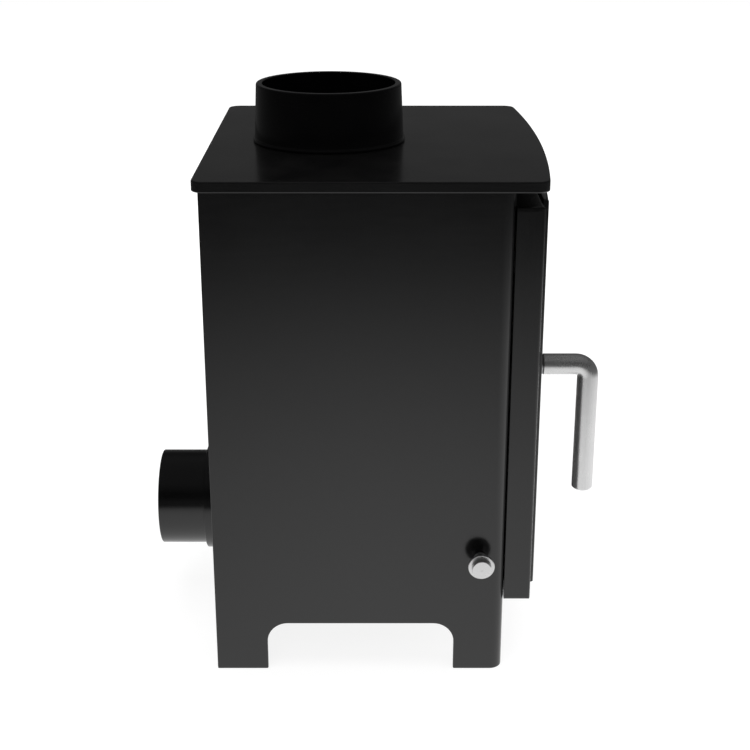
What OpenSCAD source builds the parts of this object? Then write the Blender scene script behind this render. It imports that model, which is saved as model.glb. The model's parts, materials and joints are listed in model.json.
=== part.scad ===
// Room-sealed multi-fuel stove, in millimetres. X runs to the right seen from the front,
// the front faces -Y and Z is up. The origin is on the floor under the middle of the body.

/* [Body] */
// Width across the outer faces of the side plates
body_w = 368; // [350:1:400]
// Depth from the front face of the body to its back face
body_d = 280; // [270:1:320]
// Height of the top face of the top plate above the floor
top_h = 490; // [480:1:540]
// Thickness of the casing plates
shell_t = 5; // [4:0.5:6]
// Outer radius of the folded front corners
fold_r = 12; // [9:0.5:13]

/* [Legs] */
// Height of the arches that leave the legs standing
arch_h = 50.5; // [44:0.5:53]
// Width of a front leg seen from the side
front_leg_w = 48; // [40:1:60]
// Width of a rear leg seen from the side
rear_leg_w = 50; // [40:1:70]
// Radius in the upper corners of the arches
arch_r = 20; // [8:1:25]

/* [Top plate] */
// Thickness of the top plate
plate_t = 10; // [8:0.5:12]
// Overhang of the top plate at the sides and the back
plate_lip = 6; // [2:0.5:12]
// How far the middle of the bowed front edge stands in front of the body
plate_nose = 37.5; // [34:0.5:45]
// How far the middle of the front edge stands ahead of its two ends
bow_rise = 10; // [6:0.5:12]
// Radius of the corners of the top plate
plate_corner_r = 12; // [6:1:20]

/* [Flue collar] */
// Distance of the flue's centre behind the middle of the body
flue_back = 30; // [10:1:35]
// Inner radius of the socket that takes the flue pipe
socket_r = 65; // [62:0.5:66]
// Depth of the socket
socket_depth = 45; // [35:1:50]
// Height of the collar above the top plate
collar_h = 56; // [52:1:75]
// Wall of the collar at its rim
collar_wall = 6; // [5:0.5:7]
// How much the collar widens in radius from rim to foot
collar_flare = 2.3; // [0.5:0.1:3]

/* [Air inlet] */
// Outer radius of the spigot for the outside air duct
spigot_r = 50; // [45:0.5:50]
// Wall of the spigot
spigot_wall = 2; // [1.5:0.5:3]
// Reach of the spigot behind the back face of the body
spigot_out = 72.5; // [50:0.5:100]
// Height of the spigot's centre above the floor
inlet_h = 101.5; // [100:0.5:104]
// Wall of the ring that holds the spigot
ring_wall = 5; // [3:0.5:6]
// Reach of the ring behind the back face of the body
ring_out = 24.5; // [12:0.5:35]

/* [Door] */
// Distance of the door's side edges from the sides of the body
door_side = 8; // [6:0.5:10]
// Gap between the top plate and the door's upper edge
door_head = 16; // [15:0.5:22]
// Height of the door's lower edge above the floor
door_z = 72; // [71:0.5:74]
// Thickness of the door frame
door_t = 25.5; // [23.5:0.5:27]
// Gap between the shut door and the body
door_gap = 0.8; // [0.8:0.1:1.5]
// Width of the door frame left bare at each side of the bowed front panel
panel_side = 23; // [18:1:33]
// Height of the door frame left bare below the front panel
panel_foot = 7; // [4:0.5:12]
// Rise of the front panel's upper edge over the door frame
panel_head = 2; // [0:0.5:3]
// Thickness of the bowed front panel along its side edges
panel_edge_t = 5; // [4.5:0.5:8]
// Width of the front panel at each side of the window
window_side = 45; // [42:1:63]
// Height of the front panel above and below the window
window_rim = 52; // [49:1:74]
// Thickness of the window glass
glass_t = 4; // [3:0.5:5]

/* [Door handle] */
// Radius of the handle bar
handle_r = 10; // [7:0.5:11]
// Distance of the handle's spindle from the side of the body
handle_in = 45; // [44:0.5:46]
// Height of the handle's arm above the middle of the front panel
handle_rise = 31.5; // [18:0.5:56]
// Reach of the hanging bar's centre line in front of the body
handle_out = 76.5; // [72:0.5:100]
// Length of the handle from the arm's centre line to the tip
handle_drop = 128; // [90:1:150]
// Radius of the handle's bend along its centre line
handle_bend_r = 12; // [11.5:0.5:20]

/* [Riddling gear] */
// Height of the riddling rod above the floor
rod_z = 122.5; // [122:0.5:123]
// Distance of the riddling rod behind the front face of the body
rod_in = 24; // [23:0.5:26]
// Radius of the riddling rod
rod_r = 4; // [3.5:0.5:5]
// Distance of the knob's flange from the side plate
knob_out = 17; // [15:0.5:30]
// Radius of the knob's flange
knob_r = 12.5; // [9:0.5:15]
// Travel of the riddling rod and the moving grate
riddle_travel = 15; // [8:0.5:16]

/* [Air control] */
// Height of the air control knob above the floor
air_z = 63; // [62.5:0.5:63.5]
// Radius of the air control knob
air_knob_r = 6.5; // [6:0.5:7.5]
// Travel of the air slide
air_travel = 22; // [14:0.5:24]

/* [Firebox] */
// Thickness of the fire bricks
brick_t = 25; // [20:0.5:30]
// Height of the smoke space between the baffle and the top plate
smoke_h = 73; // [67:1:97]
// Thickness of the baffle above the fire
baffle_t = 20; // [15:0.5:25]
// Gap left for the smoke between the baffle and the front of the body
baffle_throat = 70; // [50:1:90]
// Height of the ash pan
pan_h = 22; // [18:0.5:22]
// Height of the fuel guard above the grate
guard_h = 37; // [25:1:60]

/* [Hidden] */
$fn = 64;

// Fineness of the long bow of the front edge
bow_fn = 720;
// Overrun of every cut past the face that it opens
cut = 1;
// Running clearance of shafts and pins, in radius
run = 0.05;
// Clearance of a fixed piece in its hole, in radius
snug = 0.15;
// Gap between pieces that slide or seat on each other
seat = 0.3;
// Play of the loose furniture of the firebox at each side
play = 1;

// Faces of the body
half_w = body_w / 2;
front_y = -body_d / 2;
back_y = body_d / 2;
in_x = half_w - shell_t;
in_front = front_y + shell_t;
in_back = back_y - shell_t;
under_z = top_h - plate_t;
fold_x = half_w - fold_r;
fold_y = front_y + fold_r;

// Bow shared by the top plate and the door panel
plate_half = half_w + plate_lip;
plate_back = back_y + plate_lip;
nose_y = front_y - plate_nose;
bow_r = (plate_half * plate_half + bow_rise * bow_rise) / (2 * bow_rise);
bow_y = nose_y + bow_r;
corner_x = plate_half - plate_corner_r;
corner_y = bow_y - sqrt(pow(bow_r - plate_corner_r, 2) - corner_x * corner_x);

// Door opening, and the rope seal that runs round it
door_w = body_w - 2 * door_side;
door_h = under_z - door_head - door_z;
side_overlap = 18;
foot_overlap = 20;
head_overlap = 16;
open_x = door_w / 2 - side_overlap;
open_z0 = door_z + foot_overlap;
open_z1 = door_z + door_h - head_overlap;
rope_d = 9;
rope_off = 6.5;
rope_corner_r = 14;
rope_slot_w = 10;
rope_x = open_x + rope_off;
rope_z0 = open_z0 - rope_off;
rope_z1 = open_z1 + rope_off;

// Faces of the door
door_top = door_z + door_h;
door_back = front_y - door_gap;
door_front = door_back - door_t;
door_mid_z = door_z + door_h / 2;
door_mid_y = (door_back + door_front) / 2;
door_edge_r = 3;
door_corner_r = 4;
panel_x = door_w / 2 - panel_side;
panel_z = door_z + panel_foot;
panel_h = door_top + panel_head - panel_z;
panel_mid_z = panel_z + panel_h / 2;
handle_z = panel_mid_z + handle_rise;
panel_edge_r = 6;
panel_bow_r = bow_r;
panel_bow_y = door_front - panel_edge_t + sqrt(panel_bow_r * panel_bow_r - panel_x * panel_x);
panel_nose = panel_bow_y - panel_bow_r;

// Glass, its seat and its clips
window_r = 12;
glass_lap = 12;
glass_play = 1;
flange_t = 6;
gasket_t = 2;
gasket_w = 9;
ledge_w = 14;
window_w = 2 * (panel_x - window_side);
window_h = panel_h - 2 * window_rim;
glass_x = window_w / 2 + glass_lap;
glass_half_h = window_h / 2 + glass_lap;
gasket_y = door_front + flange_t;
glass_y = gasket_y + gasket_t;
ledge_y = glass_y + glass_t;
clip_w = 30;
clip_t = 2;
clip_lap = 8;
clip_shares = [-0.6, 0.6];
screw_r = 2.5;
head_r = 4.5;
head_h = 3;
screw_deep = 7;
panel_screw_in = 8;
panel_screw_x = panel_x - panel_screw_in;
panel_screw_deep = 4;
panel_screw_shares = [-0.42, 0, 0.42];

// Hinge on the right-hand side
hinge_in = 7;
hinge_x = door_w / 2 - hinge_in;
hinge_ahead = 18;
hinge_y = front_y - hinge_ahead;
pin_r = 4;
pin_head_r = 6;
pin_head_h = 2;
pin_deep = 20;
lug_t = 8;
lug_r = 10;
lug_gap = 1;
lug_w = 26;
washer_t = lug_gap - seat;
washer_r = 7.5;

// Handle spindle, latch cam and keeper
spindle_x = -(half_w - handle_in);
spindle_r = 6;
bush_wall = 3.5;
bush_r = spindle_r + bush_wall;
bush_stand = 0.5;
arm_gap = 0.3;
bar_y = front_y - handle_out;
tip_z = handle_z - handle_drop;
tip_bevel = 2;
cam_t = 6;
cam_w = 14;
cam_hub_r = 10;
cam_sleeve_r = 9;
latch_play = 1.7;
cam_tip_x = -open_x + latch_play;
cam_y = front_y + cam_t;
nut_t = 7;
nut_r = 9;
spindle_end = 3;
keeper_t = 6;
keeper_h = 30;
keeper_w = 13;
keeper_screw_off = 9;
arm_front = panel_bow_y - sqrt(panel_bow_r * panel_bow_r - spindle_x * spindle_x);

// Floors and the air path
base_rise = 3.5;
base_z = arch_h + base_rise;
ash_z = 88;
ash_t = 4;
back_drop = 10;
box_t = 3;
box_in = 42;
box_y = back_y - box_in;
box_top = 155;
inlet_lip = 4;
spigot_neck = 0.8;
riser_w = 15;
riser_d = 13;
riser_wall = 1.5;
riser_in = 31;
riser_x = in_x - play - riser_w / 2;
riser_y = front_y + riser_in;
channel_t = 2;
channel_h = 29.5;
channel_d = 42;
channel_slot = 8;
port_w = 20;
port_d = 7;
port_back = 9;
port_pitch = 2 * air_travel;
port_end_in = 40;
port_count = floor(2 * (in_x - port_end_in) / port_pitch);
port_plate_rim = 4;
port_plate_back = riser_y + riser_d + port_plate_rim;

// Grate and what stands on it
ledge_t = 5;
ledge_in = 24;
ledge_end_in = 45;
ledge_half_l = body_d / 2 - ledge_end_in;
grate_z = 129;
grate_t = 14;
grate_top = grate_z + grate_t;
grate_in = 12;
grate_front = front_y + grate_in;
grate_step_y = riser_y + riser_d + play;
grate_step_x = riser_x - riser_w / 2 - play;
grate_rim = 22;
grate_open_in = 61;
grate_open_x = in_x - grate_open_in;
grate_open_y0 = grate_front + grate_rim;
grate_rear_rim = 12;
grate_open_y1 = box_y - grate_rear_rim;
fixed_bar_t = 5;
grate_slack = 0.5;
bar_w = 10;
lug_bar_w = 5;
bar_pitch = riddle_travel + lug_bar_w + 2 * grate_slack + bar_w;
bar_count = floor((2 * grate_open_x) / bar_pitch);
mover_w = 2 * grate_open_x - riddle_travel - 2 * grate_slack;
mover_x0 = grate_open_x - grate_slack - mover_w;
mover_rim = 8;
mover_t = grate_t - fixed_bar_t - seat;
mover_lug_low = 14;
brick_front = grate_step_y + play;
brick_back = box_y - seat;
brick_top = under_z - smoke_h - baffle_t;
brick_x0 = in_x - seat - brick_t;
guard_t = 8;
guard_gap = 3.5;
guard_slots = 6;
guard_slot_w = 30;
guard_foot = 10;
guard_head = 9;
pan_t = 1.5;
pan_side_in = 29;
pan_x = in_x - pan_side_in;
pan_in = 30;
pan_front = front_y + pan_in;
pan_clear = 6;
pan_back = box_y - pan_clear;
pan_grip_w = 60;
pan_grip_out = 5;

// Riddling rod and knobs
rod_y = front_y + rod_in;
rod_end_r = 3;
rod_bush_wall = 2;
rod_bush_out = 1.5;
rod_bush_in = 9;
lug_x = -grate_open_x + 2 * bar_pitch - bar_w - grate_slack - lug_bar_w;
rod_shoulder = 4;
rod_nut_t = 5;
rod_nut_r = 5.5;
flange_knob_t = 2.5;
cap_share = 0.74;
cap_l = 6;
neck_share = 0.5;
flange_x = -half_w - knob_out;

// Air slide and its knob
slide_t = 2.4;
slide_z = ash_z - ash_t - seat - slide_t;
slide_in = 3;
slide_front = in_front + slide_in;
slide_d = 14;
slide_over = 14;
slide_half = (port_count - 1) * port_pitch / 2 + port_w / 2 + slide_over;
guide_t = 3.5;
guide_end_in = 34;
guide_l = body_w - 2 * guide_end_in;
guide_foot_w = 6.5;
tab_w = 16;
tab_t = 2.4;
tab_drop = 3;
stem_r = 3;
stem_slot_play = 0.5;
air_rest_x = -air_travel / 2;
air_stem_out = 7;
air_flange_t = 2;
air_cap_l = 10;

// Collar profile and its bolts
collar_y = flue_back;
bead_h = 3.5;
bead_out = 1.5;
throat_step = 5;
collar_rim_r = socket_r + collar_wall;
collar_base_r = collar_rim_r + collar_flare;
rim_round = 1.5;
neck_step = 0.7;
neck_r = collar_rim_r + neck_step;
collar_flange_t = 6;
collar_flange_w = 12;
bolt_r = 3;
bolt_head_r = 5;
bolt_head_h = 4;
bolt_deep = 7;
bolt_count = 3;
bolt_ring_r = neck_r + collar_flange_w / 2;

// Block between a low corner and a high corner
module block(lo, hi) {
    translate(lo) cube(hi - lo);
}

// Rectangle with round corners, about the origin
module round_rect(w, h, r) {
    square([w - 2 * r, h], center = true);
    square([w, h - 2 * r], center = true);
    for (sx = [-1, 1], sz = [-1, 1]) {
        translate([sx * (w / 2 - r), sz * (h / 2 - r)]) circle(r);
    }
}

// Lay a flat outline, drawn in X and Z, in the plane y = y0 and give it depth towards +Y
module upright(y0, depth) {
    translate([0, y0 + depth, 0]) rotate([90, 0, 0]) linear_extrude(depth) children();
}

// Round bar along X, Y or Z from a start point
module bar_x(from, length, r) {
    translate(from) rotate([0, 90, 0]) cylinder(h = length, r = r);
}

module bar_y(from, length, r) {
    translate(from) rotate([-90, 0, 0]) cylinder(h = length, r = r);
}

module bar_z(from, length, r) {
    translate(from) cylinder(h = length, r = r);
}

// Hexagon head or nut along Y
module hex_y(from, length, r) {
    translate(from) rotate([-90, 0, 0]) cylinder(h = length, r = r, $fn = 6);
}

// Waste outside the round corner of the top plate, with its middle at c, towards +X
module corner_waste(c, far) {
    difference() {
        polygon([c, [plate_half + cut, c[1]], [plate_half + cut, far[1]], far]);
        translate(c) circle(plate_corner_r);
    }
}

module top_plate() {
    reach = (bow_r + 3 * cut) / (bow_r - plate_corner_r);
    front_c = [corner_x, corner_y];
    front_far = [corner_x * reach, bow_y + (corner_y - bow_y) * reach];
    rear_c = [corner_x, plate_back - plate_corner_r];
    color("#1b1b1d") difference() {
        translate([0, 0, under_z]) linear_extrude(plate_t) difference() {
            intersection() {
                translate([-plate_half, nose_y - cut]) square([2 * plate_half, plate_back - nose_y + cut]);
                translate([0, bow_y]) circle(bow_r, $fn = bow_fn);
            }
            for (side = [0, 1]) mirror([side, 0]) {
                corner_waste(front_c, front_far);
                corner_waste(rear_c, [corner_x, plate_back + cut]);
            }
        }
        bar_z([0, collar_y, under_z - cut], plate_t + 2 * cut, neck_r + seat);
        collar_bolt_places() bar_z([bolt_ring_r, 0, under_z - cut], bolt_deep + cut, bolt_r + snug);
    }
}

// Opening between the legs of a side plate, drawn in Y and Z
module side_arch() {
    y0 = front_y + front_leg_w;
    w = back_y - rear_leg_w - y0;
    translate([y0, -cut]) square([w, arch_h - arch_r + cut]);
    translate([y0 + arch_r, -cut]) square([w - 2 * arch_r, arch_h + cut]);
    for (y = [y0 + arch_r, y0 + w - arch_r]) translate([y, arch_h - arch_r]) circle(arch_r);
}

// Left side plate, folded round the front corner and cut away between the legs
module side_plate() {
    difference() {
        union() {
            block([-half_w, fold_y, 0], [-in_x, back_y, under_z]);
            block([-fold_x, front_y, 0], [-open_x, in_front, under_z]);
            intersection() {
                difference() {
                    bar_z([-fold_x, fold_y, 0], under_z, fold_r);
                    bar_z([-fold_x, fold_y, -cut], under_z + 2 * cut, fold_r - shell_t);
                }
                block([-half_w - cut, front_y - cut, -cut], [-fold_x, fold_y, under_z + cut]);
            }
        }
        translate([-half_w - cut, 0, 0]) rotate([90, 0, 90]) linear_extrude(shell_t + 2 * cut) side_arch();
    }
}

module left_side_plate() {
    color("#202022") difference() {
        side_plate();
        bar_x([-half_w - cut, rod_y, rod_z], shell_t + 2 * cut, rod_r + run + rod_bush_wall + snug);
        keeper_screw_places() bar_y([0, front_y + shell_t - screw_deep / 2, 0], screw_deep, screw_r + snug);
    }
}

module right_side_plate() {
    color("#202022") mirror([1, 0, 0]) side_plate();
}

module front_top_rail() {
    color("#202022") block([-open_x, front_y, open_z1], [open_x, in_front, under_z]);
}

module front_bottom_rail() {
    slot_l = air_travel + 2 * stem_r + 2 * stem_slot_play;
    slot_h = 2 * (stem_r + stem_slot_play);
    color("#202022") difference() {
        block([-open_x, front_y, arch_h], [open_x, in_front, open_z0]);
        translate([0, 0, air_z]) upright(front_y - cut, shell_t + 2 * cut) {
            square([slot_l - slot_h, slot_h], center = true);
            for (side = [-1, 1]) translate([side * (slot_l - slot_h) / 2, 0]) circle(slot_h / 2);
        }
    }
}

module back_plate() {
    color("#202022") difference() {
        block([-in_x, in_back, arch_h - back_drop], [in_x, back_y, under_z]);
        bar_y([0, in_back - cut, inlet_h], shell_t + 2 * cut, spigot_r - inlet_lip);
    }
}

// Plate of thickness t at height z that fills the casing back to y1, clear of the folded corners
module floor_plate(z, t, y1) {
    translate([0, 0, z]) linear_extrude(t) polygon([
        [-fold_x, in_front], [fold_x, in_front], [in_x, fold_y], [in_x, y1], [-in_x, y1], [-in_x, fold_y]
    ]);
}

module base_plate() {
    color("#2a2a2c") floor_plate(base_z, shell_t, in_back);
}

// Places of the air ports along X
function port_places() = [for (i = [0 : port_count - 1]) (i - (port_count - 1) / 2) * port_pitch];

// Places of the two air risers, and the bore of a riser between two heights
module riser_places() {
    for (side = [-1, 1]) translate([side * riser_x, riser_y, 0]) children();
}

module riser_bore(z0, z1) {
    half = riser_w / 2 - riser_wall;
    block([-half, riser_wall, z0], [half, riser_d - riser_wall, z1]);
}

module ash_floor() {
    color("#2a2a2c") block([-in_x, port_plate_back, ash_z - ash_t], [in_x, box_y, ash_z]);
}

module port_plate() {
    port_y = in_front + port_back;
    color("#2a2a2c") difference() {
        floor_plate(ash_z - ash_t, ash_t, port_plate_back);
        for (x = port_places()) {
            block([x - port_w / 2, port_y - port_d / 2, ash_z - ash_t - cut],
                [x + port_w / 2, port_y + port_d / 2, ash_z + cut]);
        }
        riser_places() riser_bore(ash_z - ash_t - cut, ash_z + cut);
    }
}

// Half section of the collar, radius against height above the plate's top face
module collar_section() {
    polygon([
        [socket_r - throat_step, -plate_t - collar_flange_t],
        [neck_r + collar_flange_w, -plate_t - collar_flange_t],
        [neck_r + collar_flange_w, -plate_t],
        [neck_r, -plate_t],
        [neck_r, 0],
        [collar_base_r, 0],
        [collar_base_r + bead_out, bead_h * 0.3],
        [collar_base_r + bead_out, bead_h * 0.7],
        [collar_base_r, bead_h],
        [collar_rim_r, collar_h - rim_round],
        [collar_rim_r - rim_round * 0.3, collar_h - rim_round * 0.3],
        [collar_rim_r - rim_round, collar_h],
        [socket_r + rim_round / 2, collar_h],
        [socket_r, collar_h - rim_round / 2],
        [socket_r, collar_h - socket_depth],
        [socket_r - throat_step, collar_h - socket_depth]
    ]);
}

module flue_collar() {
    color("#161617") difference() {
        translate([0, collar_y, top_h]) rotate_extrude($fn = 128) collar_section();
        collar_bolt_places() bar_z([bolt_ring_r, 0, under_z - collar_flange_t - cut],
            collar_flange_t + 2 * cut, bolt_r + snug);
    }
}

// Turned places of the collar's bolts about the flue
module collar_bolt_places() {
    for (i = [0 : bolt_count - 1]) {
        translate([0, collar_y, 0]) rotate([0, 0, 90 + i * 360 / bolt_count]) children();
    }
}

module collar_bolts() {
    color("#7d7d80") collar_bolt_places() {
        bar_z([bolt_ring_r, 0, under_z - collar_flange_t], collar_flange_t + bolt_deep - cut, bolt_r);
        translate([bolt_ring_r, 0, under_z - collar_flange_t - bolt_head_h])
            cylinder(h = bolt_head_h, r = bolt_head_r, $fn = 6);
    }
}

module inlet_ring() {
    color("#161617") difference() {
        bar_y([0, back_y, inlet_h], ring_out, spigot_r + ring_wall);
        bar_y([0, back_y - cut, inlet_h], ring_out + 2 * cut, spigot_r - spigot_neck + snug);
    }
}

module air_spigot() {
    color("#161617") difference() {
        union() {
            bar_y([0, back_y, inlet_h], ring_out + seat, spigot_r - spigot_neck);
            bar_y([0, back_y + ring_out + seat, inlet_h], spigot_out - ring_out - seat, spigot_r);
        }
        bar_y([0, back_y - cut, inlet_h], spigot_out + 2 * cut, spigot_r - spigot_wall);
    }
}

module inlet_box() {
    color("#2a2a2c") {
        block([-in_x, box_y, ash_z - ash_t], [in_x, box_y + box_t, box_top]);
        block([-in_x, box_y + box_t, box_top - box_t], [in_x, in_back, box_top]);
    }
}

module air_risers() {
    color("#2a2a2c") riser_places() difference() {
        block([-riser_w / 2, 0, ash_z], [riser_w / 2, riser_d, under_z - channel_h]);
        riser_bore(ash_z - cut, under_z);
    }
}

module airwash_channel() {
    channel_back = in_front + channel_d;
    low = under_z - channel_h;
    color("#2a2a2c") difference() {
        block([-in_x + play, in_front + channel_slot, low], [in_x - play, channel_back, under_z]);
        block([-in_x, in_front, low + channel_t], [in_x, channel_back - channel_t, under_z + cut]);
        riser_places() riser_bore(low - cut, under_z);
    }
}

// Side brick for the right-hand wall of the firebox
module side_brick() {
    block([brick_x0, brick_front, grate_top], [brick_x0 + brick_t, brick_back, brick_top]);
}

module left_brick() {
    color("#c9b48a") mirror([1, 0, 0]) side_brick();
}

module right_brick() {
    color("#c9b48a") side_brick();
}

module rear_brick() {
    color("#c9b48a") block([-in_x + play, box_y, box_top], [in_x - play, box_y + brick_t, brick_top]);
}

module baffle() {
    color("#c9b48a") block([-in_x + play, front_y + baffle_throat, brick_top],
        [in_x - play, box_y + brick_t, brick_top + baffle_t]);
}

module grate_ledges() {
    color("#2a2a2c") for (side = [0, 1]) mirror([side, 0, 0]) {
        block([in_x - ledge_in, -ledge_half_l, grate_z - ledge_t], [in_x, ledge_half_l, grate_z]);
    }
}

// Places of the fixed bars along X
function fixed_bars() = [
    for (i = [1 : bar_count]) if (i * bar_pitch < 2 * grate_open_x) -grate_open_x + i * bar_pitch - bar_w
];

module grate_frame() {
    color("#3a3836") {
        difference() {
            union() {
                block([-in_x + play, grate_step_y, grate_z], [in_x - play, box_y - seat, grate_top]);
                block([-grate_step_x, grate_front, grate_z], [grate_step_x, grate_step_y, grate_top]);
            }
            block([-grate_open_x, grate_open_y0, grate_z - cut],
                [grate_open_x, grate_open_y1, grate_top + cut]);
        }
        for (x = fixed_bars()) {
            block([x, grate_open_y0, grate_z], [x + bar_w, grate_open_y1, grate_z + fixed_bar_t]);
        }
    }
}

module riddling_grate() {
    z0 = grate_top - mover_t;
    y0 = grate_open_y0 + grate_slack;
    y1 = grate_open_y1 - grate_slack;
    low = grate_z - mover_lug_low;
    gaps = floor((mover_w - bar_w) / bar_pitch);
    gap_w = (mover_w - bar_w) / gaps - bar_w;
    color("#3a3836") difference() {
        union() {
            difference() {
                block([mover_x0, y0, z0], [mover_x0 + mover_w, y1, grate_top]);
                for (i = [0 : gaps - 1]) translate([mover_x0 + bar_w + i * (gap_w + bar_w), 0, 0]) {
                    block([0, y0 + mover_rim, z0 - cut], [gap_w, y1 - mover_rim, grate_top + cut]);
                }
            }
            block([lug_x, y0, low], [lug_x + lug_bar_w, y0 + mover_rim, z0]);
            block([lug_x, rod_y - mover_rim, low], [lug_x + lug_bar_w, y0, grate_z - seat]);
        }
        bar_x([lug_x - cut, rod_y, rod_z], lug_bar_w + 2 * cut, rod_end_r + snug);
    }
}

module fuel_guard() {
    pitch = (2 * brick_x0 - 2 * guard_gap) / guard_slots;
    color("#3a3836") difference() {
        block([-brick_x0 + guard_gap, grate_front, grate_top],
            [brick_x0 - guard_gap, grate_front + guard_t, grate_top + guard_h]);
        for (i = [0 : guard_slots - 1]) {
            translate([(i - (guard_slots - 1) / 2) * pitch, 0, 0])
                block([-guard_slot_w / 2, grate_front - cut, grate_top + guard_foot],
                    [guard_slot_w / 2, grate_front + guard_t + cut, grate_top + guard_h - guard_head]);
        }
    }
}

module ash_pan() {
    color("#55565a") {
        difference() {
            block([-pan_x, pan_front, ash_z], [pan_x, pan_back, ash_z + pan_h]);
            block([-pan_x + pan_t, pan_front + pan_t, ash_z + pan_t],
                [pan_x - pan_t, pan_back - pan_t, ash_z + pan_h + cut]);
        }
        block([-pan_grip_w / 2, pan_front - pan_grip_out, ash_z + pan_h - 2 * pan_t],
            [pan_grip_w / 2, pan_front, ash_z + pan_h]);
    }
}

module rod_bush() {
    color("#8b8b8e") difference() {
        bar_x([-half_w - rod_bush_out, rod_y, rod_z], rod_bush_out + shell_t + rod_bush_in,
            rod_r + run + rod_bush_wall);
        bar_x([-half_w - rod_bush_out - cut, rod_y, rod_z], rod_bush_out + shell_t + rod_bush_in + 2 * cut,
            rod_r + run);
    }
}

// Hinge lug on the front face of the body, its lower face at height z
module hinge_lug(z) {
    difference() {
        union() {
            block([hinge_x + lug_r - lug_w, hinge_y, z], [hinge_x + lug_r, front_y, z + lug_t]);
            bar_z([hinge_x, hinge_y, z], lug_t, lug_r);
        }
        bar_z([hinge_x, hinge_y, z - cut], lug_t + 2 * cut, pin_r + run / 2);
    }
}

module hinge_lugs() {
    color("#202022") {
        hinge_lug(door_top + lug_gap);
        hinge_lug(door_z - lug_gap - lug_t);
    }
}

module hinge_pins() {
    top = door_top + lug_gap + lug_t;
    low = door_z - lug_gap - lug_t;
    color("#8b8b8e") {
        bar_z([hinge_x, hinge_y, door_top - pin_deep], top - door_top + pin_deep, pin_r);
        bar_z([hinge_x, hinge_y, top], pin_head_h, pin_head_r);
        bar_z([hinge_x, hinge_y, low], door_z - low + pin_deep, pin_r);
        bar_z([hinge_x, hinge_y, low - pin_head_h], pin_head_h, pin_head_r);
    }
}

module hinge_washers() {
    color("#8b8b8e") for (z = [door_top + seat, door_z - lug_gap]) difference() {
        bar_z([hinge_x, hinge_y, z], washer_t, washer_r);
        bar_z([hinge_x, hinge_y, z - cut], washer_t + 2 * cut, pin_r + run / 2);
    }
}

// Places of the keeper's screws behind the left-hand edge of the door opening
module keeper_screw_places() {
    for (side = [-1, 1]) {
        translate([-open_x - keeper_w / 2, 0, handle_z + side * keeper_screw_off]) children();
    }
}

module latch_keeper() {
    color("#8b8b8e") difference() {
        block([-open_x - keeper_w, in_front, handle_z - keeper_h / 2],
            [-open_x, in_front + keeper_t, handle_z + keeper_h / 2]);
        keeper_screw_places() bar_y([0, in_front - cut, 0], keeper_t + 2 * cut, screw_r + snug);
    }
}

module keeper_screws() {
    color("#b9b9bc") keeper_screw_places() {
        bar_y([0, in_front - screw_deep / 2 + snug, 0], screw_deep / 2 - snug + keeper_t, screw_r);
        bar_y([0, in_front + keeper_t, 0], head_h, head_r);
    }
}

module slide_guides() {
    foot_top = slide_z - seat;
    rear_y = slide_front + slide_d + seat;
    color("#2a2a2c") {
        block([-guide_l / 2, in_front, foot_top - guide_t],
            [guide_l / 2, in_front + guide_foot_w, foot_top]);
        block([-guide_l / 2, rear_y - guide_foot_w / 2, foot_top - guide_t],
            [guide_l / 2, rear_y + guide_t, foot_top]);
        block([-guide_l / 2, rear_y, foot_top], [guide_l / 2, rear_y + guide_t, ash_z - ash_t]);
    }
}

// Round-cornered ring, drawn in X and Z, that the door's rope follows
module rope_ring(w) {
    translate([0, (rope_z0 + rope_z1) / 2]) difference() {
        round_rect(2 * rope_x + w, rope_z1 - rope_z0 + w, rope_corner_r + w / 2);
        round_rect(2 * rope_x - w, rope_z1 - rope_z0 - w, rope_corner_r - w / 2);
    }
}

// Places of the screws that hold the front panel to the door frame
module panel_screw_places() {
    for (side = [-1, 1], share = panel_screw_shares) {
        translate([side * panel_screw_x, 0, panel_mid_z + share * panel_h]) children();
    }
}

// Places of the glass clips above and below the glass, each drawn for the upper edge
module clip_places() {
    for (side = [0, 1], share = clip_shares) {
        translate([share * glass_x, 0, panel_mid_z]) mirror([0, 0, side])
            translate([0, 0, glass_half_h]) children();
    }
}

// Solid outside shape of the door frame, with round corners and rounded front edges
module door_blank() {
    intersection() {
        translate([0, door_mid_y, door_z]) linear_extrude(door_h) {
            round_rect(door_w, door_t, door_edge_r);
            translate([-door_w / 2, 0]) square([door_w / 2, door_t / 2]);
        }
        translate([0, 0, door_mid_z]) upright(door_front, door_t)
            round_rect(door_w, door_h, door_corner_r);
        translate([-door_w / 2, door_mid_y, door_mid_z]) rotate([90, 0, 90])
            linear_extrude(door_w) {
                round_rect(door_t, door_h, door_edge_r);
                translate([0, -door_h / 2]) square([door_t / 2, door_h]);
            }
    }
}

module door_frame() {
    color("#242426") difference() {
        door_blank();
        translate([0, 0, panel_mid_z]) {
            upright(door_front - cut, door_t + 2 * cut) round_rect(window_w, window_h, window_r);
            upright(gasket_y, door_t) square(
                [2 * (glass_x + glass_play), 2 * (glass_half_h + glass_play)], center = true);
            upright(ledge_y, door_t) square(
                [2 * (glass_x + glass_play), 2 * (glass_half_h + ledge_w)], center = true);
        }
        upright(front_y - seat - rope_d, door_t) rope_ring(rope_slot_w);
        clip_places() bar_y([0, ledge_y - screw_deep, ledge_w / 2], screw_deep + cut, screw_r + snug);
        panel_screw_places() {
            bar_y([0, door_front - cut, 0], door_t + 2 * cut, screw_r + snug);
            bar_y([0, door_back - head_h, 0], head_h + cut, head_r + seat);
        }
        bar_y([spindle_x, door_front - cut, handle_z], door_t + 2 * cut, bush_r + snug);
        bar_z([hinge_x, hinge_y, door_z - cut], pin_deep + 2 * cut, pin_r + run);
        bar_z([hinge_x, hinge_y, door_top - pin_deep - cut], pin_deep + 2 * cut, pin_r + run);
    }
}

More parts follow.
